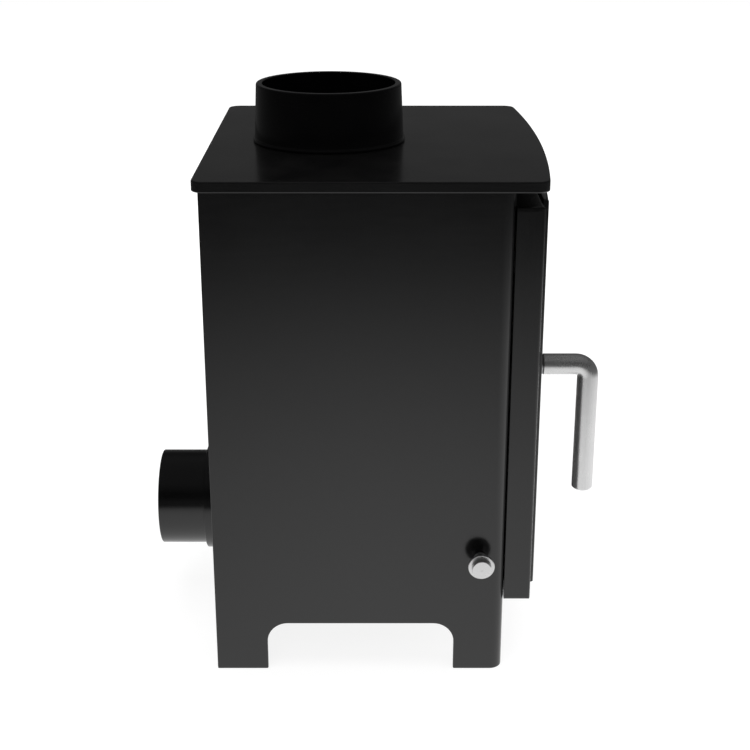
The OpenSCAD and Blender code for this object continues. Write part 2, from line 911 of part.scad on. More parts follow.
// Half section of the bowed panel about the bow's axis, radius against height
module panel_section(depth) {
    r0 = panel_bow_r - panel_edge_r;
    translate([panel_bow_r - depth, 0]) square([depth - panel_edge_r, panel_h]);
    translate([r0, panel_edge_r]) square([panel_edge_r, panel_h - 2 * panel_edge_r]);
    for (z = [panel_edge_r, panel_h - panel_edge_r]) translate([r0, z]) circle(panel_edge_r, $fn = 32);
}

module door_panel() {
    depth = door_t;
    sweep = 2 * asin((panel_x + 2 * cut) / panel_bow_r);
    color("#1d1d1f") difference() {
        intersection() {
            translate([0, panel_bow_y, panel_z]) rotate([0, 0, -90 - sweep / 2])
                rotate_extrude(angle = sweep, $fn = bow_fn) panel_section(depth);
            block([-panel_x, panel_nose - cut, panel_z - cut],
                [panel_x, door_front - snug, panel_z + panel_h + cut]);
        }
        translate([0, 0, panel_mid_z]) upright(panel_nose - cut, door_t)
            round_rect(window_w, window_h, window_r);
        panel_screw_places() bar_y([0, door_front - panel_screw_deep, 0],
            panel_screw_deep + cut, screw_r + snug);
        bar_y([spindle_x, panel_nose - cut, handle_z], door_t, bush_r + snug);
    }
}

module panel_screws() {
    tip_y = door_front - panel_screw_deep + snug;
    color("#8b8b8e") panel_screw_places() {
        bar_y([0, tip_y, 0], door_back - head_h - tip_y, screw_r);
        bar_y([0, door_back - head_h, 0], head_h - seat, head_r);
    }
}

module door_glass() {
    color("#3b3f42") translate([0, 0, panel_mid_z]) upright(glass_y, glass_t)
        square([2 * glass_x, 2 * glass_half_h], center = true);
}

module glass_gasket() {
    color("#d8d6cf") translate([0, 0, panel_mid_z]) upright(gasket_y, gasket_t) difference() {
        square([2 * glass_x, 2 * glass_half_h], center = true);
        square([2 * (glass_x - gasket_w), 2 * (glass_half_h - gasket_w)], center = true);
    }
}

module glass_clips() {
    color("#8b8b8e") clip_places() difference() {
        block([-clip_w / 2, ledge_y, -clip_lap], [clip_w / 2, ledge_y + clip_t, ledge_w - seat]);
        bar_y([0, ledge_y - cut, ledge_w / 2], clip_t + 2 * cut, screw_r + snug);
    }
}

module clip_screws() {
    color("#b9b9bc") clip_places() {
        bar_y([0, ledge_y - screw_deep + cut, ledge_w / 2], screw_deep - cut + clip_t, screw_r);
        bar_y([0, ledge_y + clip_t, ledge_w / 2], head_h, head_r);
    }
}

module door_rope() {
    color("#3c3b39") upright(front_y - seat - rope_d, rope_d) rope_ring(rope_d);
}

module handle_bush() {
    color("#8b8b8e") difference() {
        bar_y([spindle_x, arm_front - bush_stand, handle_z], door_back - arm_front + bush_stand, bush_r);
        bar_y([spindle_x, arm_front - bush_stand - cut, handle_z],
            door_back - arm_front + bush_stand + 2 * cut, spindle_r + run);
    }
}

module door_handle() {
    arm_start = arm_front - bush_stand - arm_gap;
    bend_y = bar_y + handle_bend_r;
    bend_z = handle_z - handle_bend_r;
    spindle_back = cam_y + cam_t + nut_t + spindle_end;
    color("#c8c8cb") {
        bar_y([spindle_x, bend_y, handle_z], arm_start - bend_y, handle_r);
        bar_y([spindle_x, arm_start, handle_z], spindle_back - arm_start, spindle_r);
        translate([spindle_x, bend_y, bend_z]) rotate([90, 0, -90])
            rotate_extrude(angle = 90) translate([handle_bend_r, 0]) circle(handle_r);
        bar_z([spindle_x, bar_y, tip_z + tip_bevel], bend_z - tip_z - tip_bevel, handle_r);
        translate([spindle_x, bar_y, tip_z])
            cylinder(h = tip_bevel, r1 = handle_r - tip_bevel, r2 = handle_r);
    }
}

module latch_cam() {
    color("#8b8b8e") difference() {
        union() {
            block([cam_tip_x, cam_y, handle_z - cam_w / 2],
                [spindle_x, cam_y + cam_t, handle_z + cam_w / 2]);
            bar_y([spindle_x, cam_y, handle_z], cam_t, cam_hub_r);
            bar_y([spindle_x, door_back + seat, handle_z], cam_y - door_back - seat, cam_sleeve_r);
        }
        bar_y([spindle_x, door_back, handle_z], cam_y + cam_t + cut - door_back, spindle_r + run / 2);
    }
}

module handle_nut() {
    color("#b9b9bc") difference() {
        hex_y([spindle_x, cam_y + cam_t, handle_z], nut_t, nut_r);
        bar_y([spindle_x, cam_y + cam_t - cut, handle_z], nut_t + 2 * cut, spindle_r + run / 2);
    }
}

module riddling_rod() {
    shoulder_x = lug_x - rod_shoulder;
    end_x = lug_x + lug_bar_w + rod_nut_t + rod_end_r;
    color("#a9a9ac") {
        bar_x([flange_x, rod_y, rod_z], shoulder_x - flange_x, rod_r);
        bar_x([shoulder_x, rod_y, rod_z], end_x - shoulder_x, rod_end_r);
    }
}

module riddling_knob() {
    cap_r = knob_r * cap_share;
    color("#d6d6d9") {
        bar_x([flange_x - flange_knob_t, rod_y, rod_z], flange_knob_t, knob_r);
        bar_x([flange_x - flange_knob_t - cap_l, rod_y, rod_z], cap_l, cap_r);
        difference() {
            bar_x([flange_x, rod_y, rod_z], knob_out / 2, knob_r * neck_share);
            bar_x([flange_x, rod_y, rod_z], knob_out / 2 + cut, rod_r + run / 2);
        }
    }
}

module rod_nuts() {
    color("#b9b9bc") for (x = [lug_x - rod_shoulder + seat, lug_x + lug_bar_w]) {
        length = x < lug_x ? rod_shoulder - seat : rod_nut_t;
        difference() {
            translate([x, rod_y, rod_z]) rotate([0, 90, 0]) cylinder(h = length, r = rod_nut_r, $fn = 6);
            bar_x([x - cut, rod_y, rod_z], length + 2 * cut, rod_end_r + run / 2);
        }
    }
}

module air_slide() {
    port_y = in_front + port_back;
    tab_y = in_front + guide_foot_w + seat;
    color("#8b8b8e") {
        difference() {
            block([air_rest_x - slide_half, slide_front, slide_z],
                [air_rest_x + slide_half, slide_front + slide_d, slide_z + slide_t]);
            for (place = port_places()) {
                x = place + air_rest_x - air_travel / 2;
                block([x - port_w / 2, port_y - port_d / 2, slide_z - cut],
                    [x + port_w / 2, port_y + port_d / 2, slide_z + slide_t + cut]);
            }
        }
        block([air_rest_x - tab_w / 2, tab_y, air_z - tab_drop],
            [air_rest_x + tab_w / 2, tab_y + tab_t, slide_z]);
        bar_y([air_rest_x, front_y - air_stem_out, air_z], tab_y - front_y + air_stem_out, stem_r);
    }
}

module air_knob() {
    flange_y = front_y - air_stem_out;
    color("#d6d6d9") {
        bar_y([air_rest_x, flange_y - air_flange_t, air_z], air_flange_t, air_knob_r);
        bar_y([air_rest_x, flange_y - air_flange_t - air_cap_l, air_z], air_cap_l, air_knob_r * cap_share);
    }
}

top_plate();
left_side_plate();
right_side_plate();
front_top_rail();
front_bottom_rail();
back_plate();
base_plate();
ash_floor();
port_plate();
flue_collar();
collar_bolts();
inlet_ring();
air_spigot();
inlet_box();
air_risers();
airwash_channel();
left_brick();
right_brick();
rear_brick();
baffle();
grate_ledges();
grate_frame();
fuel_guard();
ash_pan();
rod_bush();
hinge_lugs();
hinge_pins();
hinge_washers();
latch_keeper();
keeper_screws();
slide_guides();
door_frame();
door_panel();
panel_screws();
door_glass();
glass_gasket();
glass_clips();
clip_screws();
door_rope();
handle_bush();
door_handle();
latch_cam();
handle_nut();
riddling_rod();
riddling_knob();
riddling_grate();
rod_nuts();
air_slide();
air_knob();
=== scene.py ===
"""The looks of a room-sealed multi-fuel stove, built round its packed construction model.

Lengths are in metres, in the frame of the construction model: X to the right seen from the
front, the front faces -Y, Z up, and the origin on the floor under the middle of the body.
"""

import json
import math

import bmesh
import bpy
import numpy as np
from bpy.props import FloatProperty, FloatVectorProperty, PointerProperty
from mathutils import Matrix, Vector

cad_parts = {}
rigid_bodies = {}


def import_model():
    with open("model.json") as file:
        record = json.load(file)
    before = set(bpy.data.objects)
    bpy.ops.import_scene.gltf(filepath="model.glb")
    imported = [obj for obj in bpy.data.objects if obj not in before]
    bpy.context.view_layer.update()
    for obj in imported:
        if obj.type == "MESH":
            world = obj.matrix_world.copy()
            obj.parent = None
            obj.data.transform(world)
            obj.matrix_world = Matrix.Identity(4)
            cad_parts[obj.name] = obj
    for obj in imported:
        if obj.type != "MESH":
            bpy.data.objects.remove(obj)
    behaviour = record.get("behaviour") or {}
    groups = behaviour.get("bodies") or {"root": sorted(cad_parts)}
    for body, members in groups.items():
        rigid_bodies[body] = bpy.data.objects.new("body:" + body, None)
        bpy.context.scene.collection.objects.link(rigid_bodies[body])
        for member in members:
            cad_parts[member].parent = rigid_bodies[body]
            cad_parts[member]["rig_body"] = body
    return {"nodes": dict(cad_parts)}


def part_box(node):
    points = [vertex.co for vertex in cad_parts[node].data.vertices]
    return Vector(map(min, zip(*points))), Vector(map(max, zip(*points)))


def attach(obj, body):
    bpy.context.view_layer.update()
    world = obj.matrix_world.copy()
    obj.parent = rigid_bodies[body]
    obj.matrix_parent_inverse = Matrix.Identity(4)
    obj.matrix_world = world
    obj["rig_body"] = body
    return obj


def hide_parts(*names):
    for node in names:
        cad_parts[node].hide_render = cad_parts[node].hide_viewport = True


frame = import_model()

bl_info = {
    "name": "Multi-fuel stove",
    "version": (1, 0, 0),
    "blender": (4, 5, 0),
    "location": "3D View > Sidebar > Stove",
    "description": "Builds the visible pieces and finishes of a multi-fuel stove",
    "category": "Object",
}

MM = 0.001
X, Y, Z = 0, 1, 2
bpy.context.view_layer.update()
BOX = {name: np.array([list(corner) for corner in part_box(name)]) for name in frame["nodes"]}

# Width of the ring that holds a flat face flat next to a rounded edge
HOLD = 0.25 * MM
# Distances under which points merge: in a built shell, and in a copy of a node of the model
MERGE = 0.0001 * MM
COPY_MERGE = 0.001 * MM
# Gap in radius round a shaft that turns or slides in its bush
PLAY = 0.05 * MM
# Radius of a knob's cap as a share of its flange's
CAP_SHARE = 0.74
# Bends under FLAT are dissolved in a copied node, and bends over SHARP are shaded as edges
FLAT = math.radians(0.5)
SHARP = math.radians(40)

# Tints of dust, soot, heat, rubbed edges and grain in the finishes, and of a painted glint
DUST_GREY = (0.06, 0.057, 0.054, 1.0)
ASH_GREY = (0.22, 0.21, 0.20, 1.0)
PAN_ASH = (0.30, 0.29, 0.27, 1.0)
RUBBED_PAINT = (0.03, 0.029, 0.028, 1.0)
RUBBED_CASTING = (0.02, 0.019, 0.018, 1.0)
RUBBED_IRON = (0.16, 0.155, 0.15, 1.0)
RUST = (0.085, 0.045, 0.028, 1.0)
HEAT_BLOOM = (0.075, 0.062, 0.058, 1.0)
BRICK_SOOT = (0.035, 0.032, 0.030, 1.0)
BRICK_PAINTED_GLINT = (0.74, 0.64, 0.46, 1.0)
CLEAR_GLASS = (0.80, 0.79, 0.76, 1.0)
FILMED_GLASS = (0.68, 0.66, 0.62, 1.0)
DARK_SPANGLE = (0.24, 0.25, 0.26, 1.0)
PALE_SPANGLE = (0.38, 0.39, 0.40, 1.0)


def low(node, axis):
    """Lowest coordinate of a node of the construction model along an axis."""
    return BOX[node][0][axis]


def high(node, axis):
    """Highest coordinate of a node of the construction model along an axis."""
    return BOX[node][1][axis]


def middle(node):
    """Middle point of a node of the construction model."""
    return BOX[node].mean(axis=0)


def half_size(node, axis):
    """Half of a node's extent along an axis: the radius of a turned one."""
    return (high(node, axis) - low(node, axis)) / 2


def length(name, description, default):
    """A length that a user may change."""
    return FloatProperty(name=name, description=description, default=default, unit="LENGTH")


def tint(name, description, default):
    """A colour that a user may change."""
    return FloatVectorProperty(name=name, description=description, default=default, min=0,
                               max=1, subtype="COLOR")


def fraction(name, description, default):
    """A share between 0 and 1 that a user may change."""
    return FloatProperty(name=name, description=description, default=default, min=0, max=1,
                         subtype="FACTOR")


class StoveShape(bpy.types.PropertyGroup):
    """Sizes of the dressed pieces that the construction model leaves open."""

    plate_edge: length("Top plate edge", "Radius of the long edges of the top plate", 1.1 * MM)
    bow_rise: length(
        "Bow", "How far the middle of the top plate's front edge leads its ends", 10 * MM)
    plate_corner: length("Top plate corners", "Radius of the top plate's corners in plan", 12 * MM)
    sheet: length(
        "Casing plate", "Thickness of the casing plates",
        high("front_top_rail", Y) - low("front_top_rail", Y))
    sheet_edge: length(
        "Casing plate edge", "Radius of the cut edges of the casing plates", 0.9 * MM)
    fold_radius: length("Fold", "Outer radius of the folded front corners", 12 * MM)
    arch_height: length(
        "Arch height", "Height of the arches between the legs", low("front_bottom_rail", Z))
    arch_radius: length("Arch corner", "Radius in the upper corners of the arches", 20 * MM)
    front_leg: length("Front leg", "Width of a front leg seen from the side", 48 * MM)
    rear_leg: length("Rear leg", "Width of a rear leg seen from the side", 50 * MM)
    panel_edge: length("Panel edge", "Radius of the door panel's upper and lower edges", 4.8 * MM)
    window_width: length("Window width", "Width of the window in the door panel", 216 * MM)
    window_height: length("Window height", "Height of the window in the door panel", 283 * MM)
    window_corner: length("Window corner", "Radius of the window's corners", 12 * MM)
    handle_bend: length(
        "Handle bend", "Radius of the handle's bend along its centre line", 12 * MM)
    tip_bevel: length("Handle tip", "Width of the bevel at the handle's tip", 2 * MM)
    small_edge: length("Small edge", "Radius of the edges of turned and machined pieces", 0.5 * MM)
    cast_edge: length("Cast edge", "Radius of the edges of the castings of the grate", 1.2 * MM)


class StoveFinish(bpy.types.PropertyGroup):
    """Colours of the finishes, and how rough the paint is."""

    paint: tint(
        "Stove paint", "Colour of the satin black paint on the casing", (0.0022, 0.0022, 0.0023))
    flue_paint: tint(
        "Flue paint", "Colour of the paint on the collar and the air spigot",
        (0.0008, 0.0008, 0.0009))
    paint_roughness: fraction("Paint roughness", "Roughness of the satin paint", 0.19)
    bright_steel: tint("Bright steel", "Colour of the handle and the knobs", (0.74, 0.74, 0.74))
    plain_steel: tint("Plain steel", "Colour of pins, bushes and the latch", (0.42, 0.42, 0.43))
    scorched_steel: tint(
        "Scorched steel", "Colour of the plates inside the casing", (0.050, 0.047, 0.044))
    grate_iron: tint("Grate iron", "Colour of the grate's castings", (0.045, 0.042, 0.040))
    brick: tint("Fire brick", "Colour of the pressed fire bricks", (0.52, 0.41, 0.27))
    rope: tint("Rope", "Colour of the door's rope seal", (0.055, 0.055, 0.057))


class StoveStudio(bpy.types.PropertyGroup):
    """The camera, the light, and what the floor and the room show in reflections."""

    camera_place: FloatVectorProperty(
        name="Camera", description="Place of the camera",
        default=(-1.418, -0.0152, 0.771), subtype="TRANSLATION", unit="LENGTH")
    camera_pitch: FloatProperty(
        name="Pitch", description="How far the camera looks down",
        default=math.radians(20.5), subtype="ANGLE", unit="ROTATION")
    camera_lens: FloatProperty(
        name="Lens", description="Focal length of the camera in millimetres",
        default=69.24, min=1)
    floor_reach: length("Floor", "Distance at which the pale floor fades out in reflections", 2.3)
    ceiling: fraction(
        "Ceiling", "Brightness of the dim studio above the floor in reflections", 0.10)
    far_floor: fraction("Far floor", "Brightness of the far floor in reflections", 0.07)
    lamp_power: FloatProperty(
        name="Top lamp", description="Power of the soft lamp overhead in watts",
        default=42.0, min=0)


def filleted(corners, radii, steps=6, fill=0):
    """Points and outward normals round a closed outline, anticlockwise, with rounded corners.

    Each corner is an arc from one side's normal to the next one's: centre plus radius times the
    turning normal. A hollow corner takes its arc from the other side. fill adds points evenly
    along each straight stretch.
    """
    p = np.asarray(corners, float)
    r = np.broadcast_to(np.asarray(radii, float), len(p))[:, None]
    into = p - np.roll(p, 1, 0)
    out = np.roll(p, -1, 0) - p
    into = into / np.linalg.norm(into, axis=1, keepdims=True)
    out = out / np.linalg.norm(out, axis=1, keepdims=True)
    cross = into[:, 0] * out[:, 1] - into[:, 1] * out[:, 0]
    turn = np.arctan2(cross, (into * out).sum(1))[:, None]
    side = np.sign(turn)
    normal = np.stack([into[:, 1], -into[:, 0]], 1)
    centre = p - into * r * np.tan(np.abs(turn) / 2) - side * normal * r
    angle = (turn * np.linspace(0, 1, steps + 1))[..., None]
    normals = normal[:, None] * np.cos(angle) + into[:, None] * np.sin(angle)
    points = centre[:, None] + (side * r)[:, None] * normals
    if fill:
        start, end = points[:, -1:], np.roll(points[:, :1], -1, 0)
        share = np.linspace(0, 1, fill + 2)[None, 1:-1, None]
        points = np.concatenate([points, start + (end - start) * share], 1)
        normals = np.concatenate([normals, np.repeat(normals[:, -1:], fill, 1)], 1)
    return points.reshape(-1, 2), normals.reshape(-1, 2)


def rectangle(lo, hi, axis, inset=0.0):
    """Corners of a box's section across an axis, moved inwards, anticlockwise."""
    (a0, b0), (a1, b1) = np.delete(lo, axis) + inset, np.delete(hi, axis) - inset
    return np.array([[a0, b0], [a1, b0], [a1, b1], [a0, b1]])


def unit_circle(count):
    """Points of a circle of radius 1 at even angles, which are also its outward normals."""
    angle = np.linspace(0, 2 * np.pi, count, endpoint=False)
    return np.stack([np.cos(angle), np.sin(angle)], 1)


def edge_layers(bottom, top, edge, steps=4):
    """Insets and depths of the rings from a slab's lower face round its edge to its upper face.

    Both edges are quarter circles: inset = edge (1 - sin t) and rise = edge (1 - cos t). Two
    more rings hold the flat band between them.
    """
    t = np.linspace(0, np.pi / 2, steps + 1)
    inset = edge * (1 - np.sin(t))
    rise = edge * (1 - np.cos(t))
    hold = edge + min(HOLD, (top - bottom - 2 * edge) / 3)
    insets = np.concatenate([[edge + HOLD], inset, [0, 0], inset[::-1], [edge + HOLD]])
    depths = np.concatenate([[bottom], bottom + rise, [bottom + hold, top - hold],
                             top - rise[::-1], [top]])
    return insets, depths


def inward(outline, insets):
    """An outline's points moved inwards along its normals, as one ring for each inset."""
    points, normals = outline
    return points - np.asarray(insets)[:, None, None] * normals


def lay(flat, depth, axis):
    """Points in space from an outline's two coordinates and a depth along the given axis."""
    flat = np.asarray(flat, float)
    points = np.empty(flat.shape[:-1] + (3,))
    points[..., [i for i in range(3) if i != axis]] = flat
    points[..., axis] = depth
    return points


def skin(rings, wrapped=False):
    """Vertices, four-sided faces and end faces over a stack of rings of points.

    Point j of ring i joins point j + 1 and ring i + 1. The end rings each carry one flat face,
    unless the last ring joins the first again.
    """
    rows, count = rings.shape[:2]
    index = np.arange(rows * count).reshape(rows, count)
    ends = [] if wrapped else [index[0, ::-1], index[-1]]
    if wrapped:
        index = np.concatenate([index, index[:1]])
    beside = np.roll(index, -1, 1)
    quads = np.stack([index[:-1], beside[:-1], beside[1:], index[1:]], -1).reshape(-1, 4)
    return rings.reshape(-1, 3), quads, ends


def slab(outline, bottom, top, edge, axis, steps=4):
    """A plate with rounded edges: its outline, moved inwards along its normals, at each depth."""
    insets, depths = edge_layers(bottom, top, edge, steps)
    return skin(lay(inward(outline, insets), depths[:, None], axis))


def holed_slab(outline, hole, bottom, top, edge, axis):
    """A plate with rounded edges and a round hole, as a band from the hole over both faces.

    Each ring is the outline or the circle hole = (centre, radius) seen from the hole's centre.
    """
    centre, radius = hole
    insets, depths = edge_layers(bottom, top, edge)
    away = outline[0] - centre
    away = away / np.linalg.norm(away, axis=1, keepdims=True)
    rim = centre + radius * away
    rings = np.concatenate([lay(rim, bottom, axis)[None],
                            lay(inward(outline, insets), depths[:, None], axis),
                            lay(rim, top, axis)[None]])
    return skin(rings, wrapped=True)


def block(corners, edge, axis=Z, steps=3):
    """A box with all its edges rounded, between the two given corners."""
    lo, hi = corners
    outline = filleted(rectangle(lo, hi, axis), 1.5 * edge, steps)
    return slab(outline, lo[axis], hi[axis], edge, axis, steps)


def lathe(profile, axis, centre, count=72, wrapped=False):
    """A turned piece: a profile of radius against place along the axis, carried round it.

    wrapped joins the profile's last point to its first, for rings and tubes. Otherwise the
    profile runs from one flat end to the other.
    """
    profile = np.asarray(profile, float)
    flat = profile[:, :1, None] * unit_circle(count) + np.delete(centre, axis)
    return skin(lay(flat, profile[:, 1:], axis), wrapped)


def turned(corners, radii, steps=4):
    """A closed turning profile with rounded corners, and a holding point beside every arc."""
    rings = filleted(corners, radii, steps)[0].reshape(len(corners), steps + 1, 2)
    into = rings[:, 0] - np.roll(rings[:, -1], 1, 0)
    out = np.roll(rings[:, 0], -1, 0) - rings[:, -1]

    def beside(point, way):
        """The point moved along a way by the holding width, or by a third of a short way."""
        far = np.linalg.norm(way, axis=1, keepdims=True)
        return point + way / np.maximum(far, MERGE) * np.minimum(HOLD, far / 3)

    held = [beside(rings[:, 0], -into)[:, None], rings, beside(rings[:, -1], out)[:, None]]
    return np.concatenate(held, 1).reshape(-1, 2)


def tube(inner, outer, start, end, axis, centre, edge, count=72):
    """A round tube or washer with its four edges rounded."""
    corners = [[inner, start], [outer, start], [outer, end], [inner, end]]
    return lathe(turned(corners, edge), axis, centre, count, wrapped=True)


def build(name, shells, body, slot, node, finish=None):
    """One object from closed shells, riding on a body, in place of a node of the model."""
    start = np.cumsum([0] + [len(shell[0]) for shell in shells])[:-1]
    vertices = np.concatenate([shell[0] for shell in shells])
    quads = np.concatenate([shell[1] + first for shell, first in zip(shells, start)])
    ends = [end + first for shell, first in zip(shells, start) for end in shell[2]]
    mesh = bpy.data.meshes.new(name)
    mesh.from_pydata(vertices, [], quads.tolist() + [end.tolist() for end in ends])
    tidy = bmesh.new()
    tidy.from_mesh(mesh)
    bmesh.ops.remove_doubles(tidy, verts=tidy.verts, dist=MERGE)
    bmesh.ops.recalc_face_normals(tidy, faces=tidy.faces)
    tidy.to_mesh(mesh)
    tidy.free()
    mesh.shade_smooth()
    mesh.set_sharp_from_angle(angle=SHARP)
    settle(name, mesh, body, slot, node, finish)


def soften(node, slot, edge):
    """A copy of a node of the model, its points merged, its sharp edges rounded by a bevel.

    Its normals are weighted by area, so that the flat faces beside the rounded edges shade flat.
    """
    mesh = frame["nodes"][node].data.copy()
    tidy = bmesh.new()
    tidy.from_mesh(mesh)
    bmesh.ops.remove_doubles(tidy, verts=tidy.verts, dist=COPY_MERGE)
    bmesh.ops.dissolve_limit(tidy, angle_limit=FLAT, verts=tidy.verts, edges=tidy.edges)
    bmesh.ops.recalc_face_normals(tidy, faces=tidy.faces)
    tidy.to_mesh(mesh)
    tidy.free()
    mesh.shade_smooth()
    mesh.set_sharp_from_angle(angle=SHARP)
    piece = settle("soft_" + node, mesh, frame["nodes"][node]["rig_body"], slot, node)
    bevel = piece.modifiers.new("edges", "BEVEL")
    bevel.width = edge
    bevel.segments = 2
    bevel.limit_method = "ANGLE"
    bevel.angle_limit = SHARP
    flats = piece.modifiers.new("flats", "WEIGHTED_NORMAL")
    flats.keep_sharp = True


def settle(name, mesh, body, slot, node, finish=None):
    """Links a finished mesh, gives it its material and body, and hides the node it replaces.

    The material is the one that is kept under the slot's name, or under the finish if given.
    """
    mesh.materials.clear()
    mesh.materials.append(MATERIALS[finish or slot])
    piece = bpy.data.objects.new(name, mesh)
    bpy.context.scene.collection.objects.link(piece)
    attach(piece, body)
    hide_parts(node)
    return piece


# Shared shader effects

class Nodes:
    """Short ways to add and join nodes in one tree."""

    def __init__(self, tree):
        self.tree = tree

    def add(self, kind, values=None, **settings):
        """A node of the given kind, with settings by name and input values by socket."""
        node = self.tree.nodes.new(kind if kind.startswith("Node") else "ShaderNode" + kind)
        for key, value in settings.items():
            setattr(node, key, value)
        for key, value in (values or {}).items():
            self.feed(value, node.inputs[key])
        return node

    def feed(self, value, socket):
        """Gives an input what another node puts out, or a constant."""
        if isinstance(value, bpy.types.NodeSocket):
            self.tree.links.new(value, socket)
        else:
            socket.default_value = value

    def math(self, operation, a, b=0.0):
        """The result of one of the arithmetic operations."""
        return self.add("Math", {0: a, 1: b}, operation=operation).outputs[0]

    def times(self, a, b):
        """The product of two values."""
        return self.math("MULTIPLY", a, b)

    def plus(self, a, b):
        """The sum of two values."""
        return self.math("ADD", a, b)

    def larger(self, a, b):
        """The larger of two values."""
        return self.math("MAXIMUM", a, b)

    def span(self, value, low_in, high_in, low_out=0.0, high_out=1.0, **settings):
        """A value carried from one range to another, clamped."""
        node = self.add("MapRange", {"Value": value, "From Min": low_in, "From Max": high_in,
                                     "To Min": low_out, "To Max": high_out}, **settings)
        return node.outputs[0]

    def mix(self, share, first, second):
        """A colour between two colours."""
        return self.add("Mix", {0: share, 6: first, 7: second}, data_type="RGBA").outputs[2]

    def noise(self, vector, scale, detail=3.0, roughness=0.5):
        """Cloudy noise: its scale per metre, its finer layers and their strength."""
        return self.add("TexNoise", {"Vector": vector, "Scale": scale, "Detail": detail,
                                     "Roughness": roughness}).outputs["Fac"]

    def cells(self, vector, scale):
        """A pattern of cells: its distances and colours."""
        return self.add("TexVoronoi", {"Vector": vector, "Scale": scale}).outputs

    def part(self, vector, letter):
        """One coordinate of a vector."""
        return self.add("SeparateXYZ", {0: vector}).outputs[letter]


def new_group(name, inputs, outputs):
    """An empty shader group, its nodes, and its sockets for what comes in and what goes out.

    Every group takes a place. Its other inputs are vectors or numbers, as their defaults are.
    """
    group = bpy.data.node_groups.new(name, "ShaderNodeTree")
    new_socket = group.interface.new_socket
    new_socket(name="Place", in_out="INPUT", socket_type="NodeSocketVector")
    for label, value in inputs.items():
        kind = "NodeSocketVector" if isinstance(value, tuple) else "NodeSocketFloat"
        new_socket(name=label, in_out="INPUT", socket_type=kind).default_value = value
    for label in outputs:
        new_socket(name=label, in_out="OUTPUT", socket_type="NodeSocketFloat")
    n = Nodes(group)
    return group, n, n.add("NodeGroupInput").outputs, n.add("NodeGroupOutput").inputs


def grain_group():
    """Fine drawn lines over soft clouds: noise squeezed across the lines, and plain noise."""
    group, n, given, result = new_group(
        "Drawn grain", {"Squeeze": (1, 1, 1), "Cloud size": 18.0}, ("Lines", "Clouds"))
    across = n.add("VectorMath", {0: given["Place"], 1: given["Squeeze"]}, operation="MULTIPLY")
    n.feed(n.noise(across.outputs[0], 1.0, 4.0, 0.62), result["Lines"])
    n.feed(n.noise(given["Place"], given["Cloud size"]), result["Clouds"])
    return group


def wear_group():
    """A mask along edges: where a rounded normal leaves the true one, broken up by noise."""
    group, n, given, result = new_group(
        "Edge wear", {"Width": 0.8 * MM, "Break": 160.0}, ("Mask",))
    soft = n.add("Bevel", {"Radius": given["Width"]}, samples=4)
    true = n.add("NewGeometry")
    same = n.add("VectorMath", {0: soft.outputs[0], 1: true.outputs["Normal"]},
                 operation="DOT_PRODUCT")
    bend = n.span(same.outputs["Value"], 0.995, 0.86)
    broken = n.span(n.noise(given["Place"], given["Break"], 4.0, 0.6), 0.42, 0.62)
    n.feed(n.times(bend, broken), result["Mask"])
    return group


def dust_group():
    """Thin dust on faces that look up: the normal's height times drifting noise."""
    group, n, given, result = new_group("Dust", {"Amount": 0.2}, ("Mask",))
    up = n.part(n.add("NewGeometry").outputs["Normal"], "Z")
    drift = n.span(n.noise(given["Place"], 26.0, 5.0, 0.65), 0.35, 0.75)
    facing = n.span(up, 0.35, 1.0)
    n.feed(n.times(n.times(drift, facing), given["Amount"]), result["Mask"])
    return group


def casting_group():
    """The skin of a sand casting: coarse swells, fine sand and scattered pits as one height."""
    group, n, given, result = new_group("Casting skin", {}, ("Height", "Pits"))
    swell = n.noise(given["Place"], 120.0, 2.0)
    sand = n.noise(given["Place"], 1300.0, 4.0, 0.7)
    pits = n.span(n.cells(given["Place"], 420.0)["Distance"], 0.05, 0.22, 1.0, 0.0)
    n.feed(n.math("SUBTRACT", n.plus(n.times(swell, 0.8), sand), pits), result["Height"])
    n.feed(pits, result["Pits"])
    return group


def weave_group():
    """Plaited yarn: two crossing sets of waves along the diagonals of the surface."""
    group, n, given, result = new_group("Plait", {"Count": 420.0}, ("Height",))
    parts = n.add("SeparateXYZ", {0: given["Place"]}).outputs
    across = n.plus(parts["X"], parts["Y"])
    waves = [n.math("SINE", n.times(n.math(way, parts["Z"], across), given["Count"]))
             for way in ("ADD", "SUBTRACT")]
    n.feed(n.larger(*waves), result["Height"])
    return group


# The shared effects, made once before the materials
GROUPS = {}


def effect(n, name, place, **values):
    """A shared effect at a place in a material, with its other inputs named by keyword."""
    inputs = {key.replace("_", " "): value for key, value in values.items()}
    return n.add("Group", {"Place": place, **inputs}, node_tree=GROUPS[name]).outputs


def empty_tree(owner):
    """The tree of a new material or world, with no nodes in it."""
    owner.use_nodes = True
    owner.node_tree.nodes.clear()
    return Nodes(owner.node_tree)


def new_material(name, **constants):
    """A material with an object-space place, and its shader's constant values by socket."""
    material = bpy.data.materials.new(name)
    n = empty_tree(material)
    shader = n.add("BsdfPrincipled", {key.replace("_", " "): v for key, v in constants.items()})
    n.add("OutputMaterial", {"Surface": shader.outputs[0]})
    return material, n, shader.inputs, n.add("TexCoord").outputs["Object"]


def dress(n, shader, colour, roughness, height=None, distance=0.0, strength=1.0):
    """Feeds a colour and a roughness to the shader, and a height to its normal."""
    n.feed(colour, shader["Base Color"])
    n.feed(roughness, shader["Roughness"])
    if height is not None:
        bump = n.add("Bump", {"Height": height, "Distance": distance, "Strength": strength})
        n.feed(bump.outputs[0], shader["Normal"])


def rgba(colour, gain=1.0):
    """A colour with an alpha, brightened by a gain."""
    return (colour[0] * gain, colour[1] * gain, colour[2] * gain, 1.0)


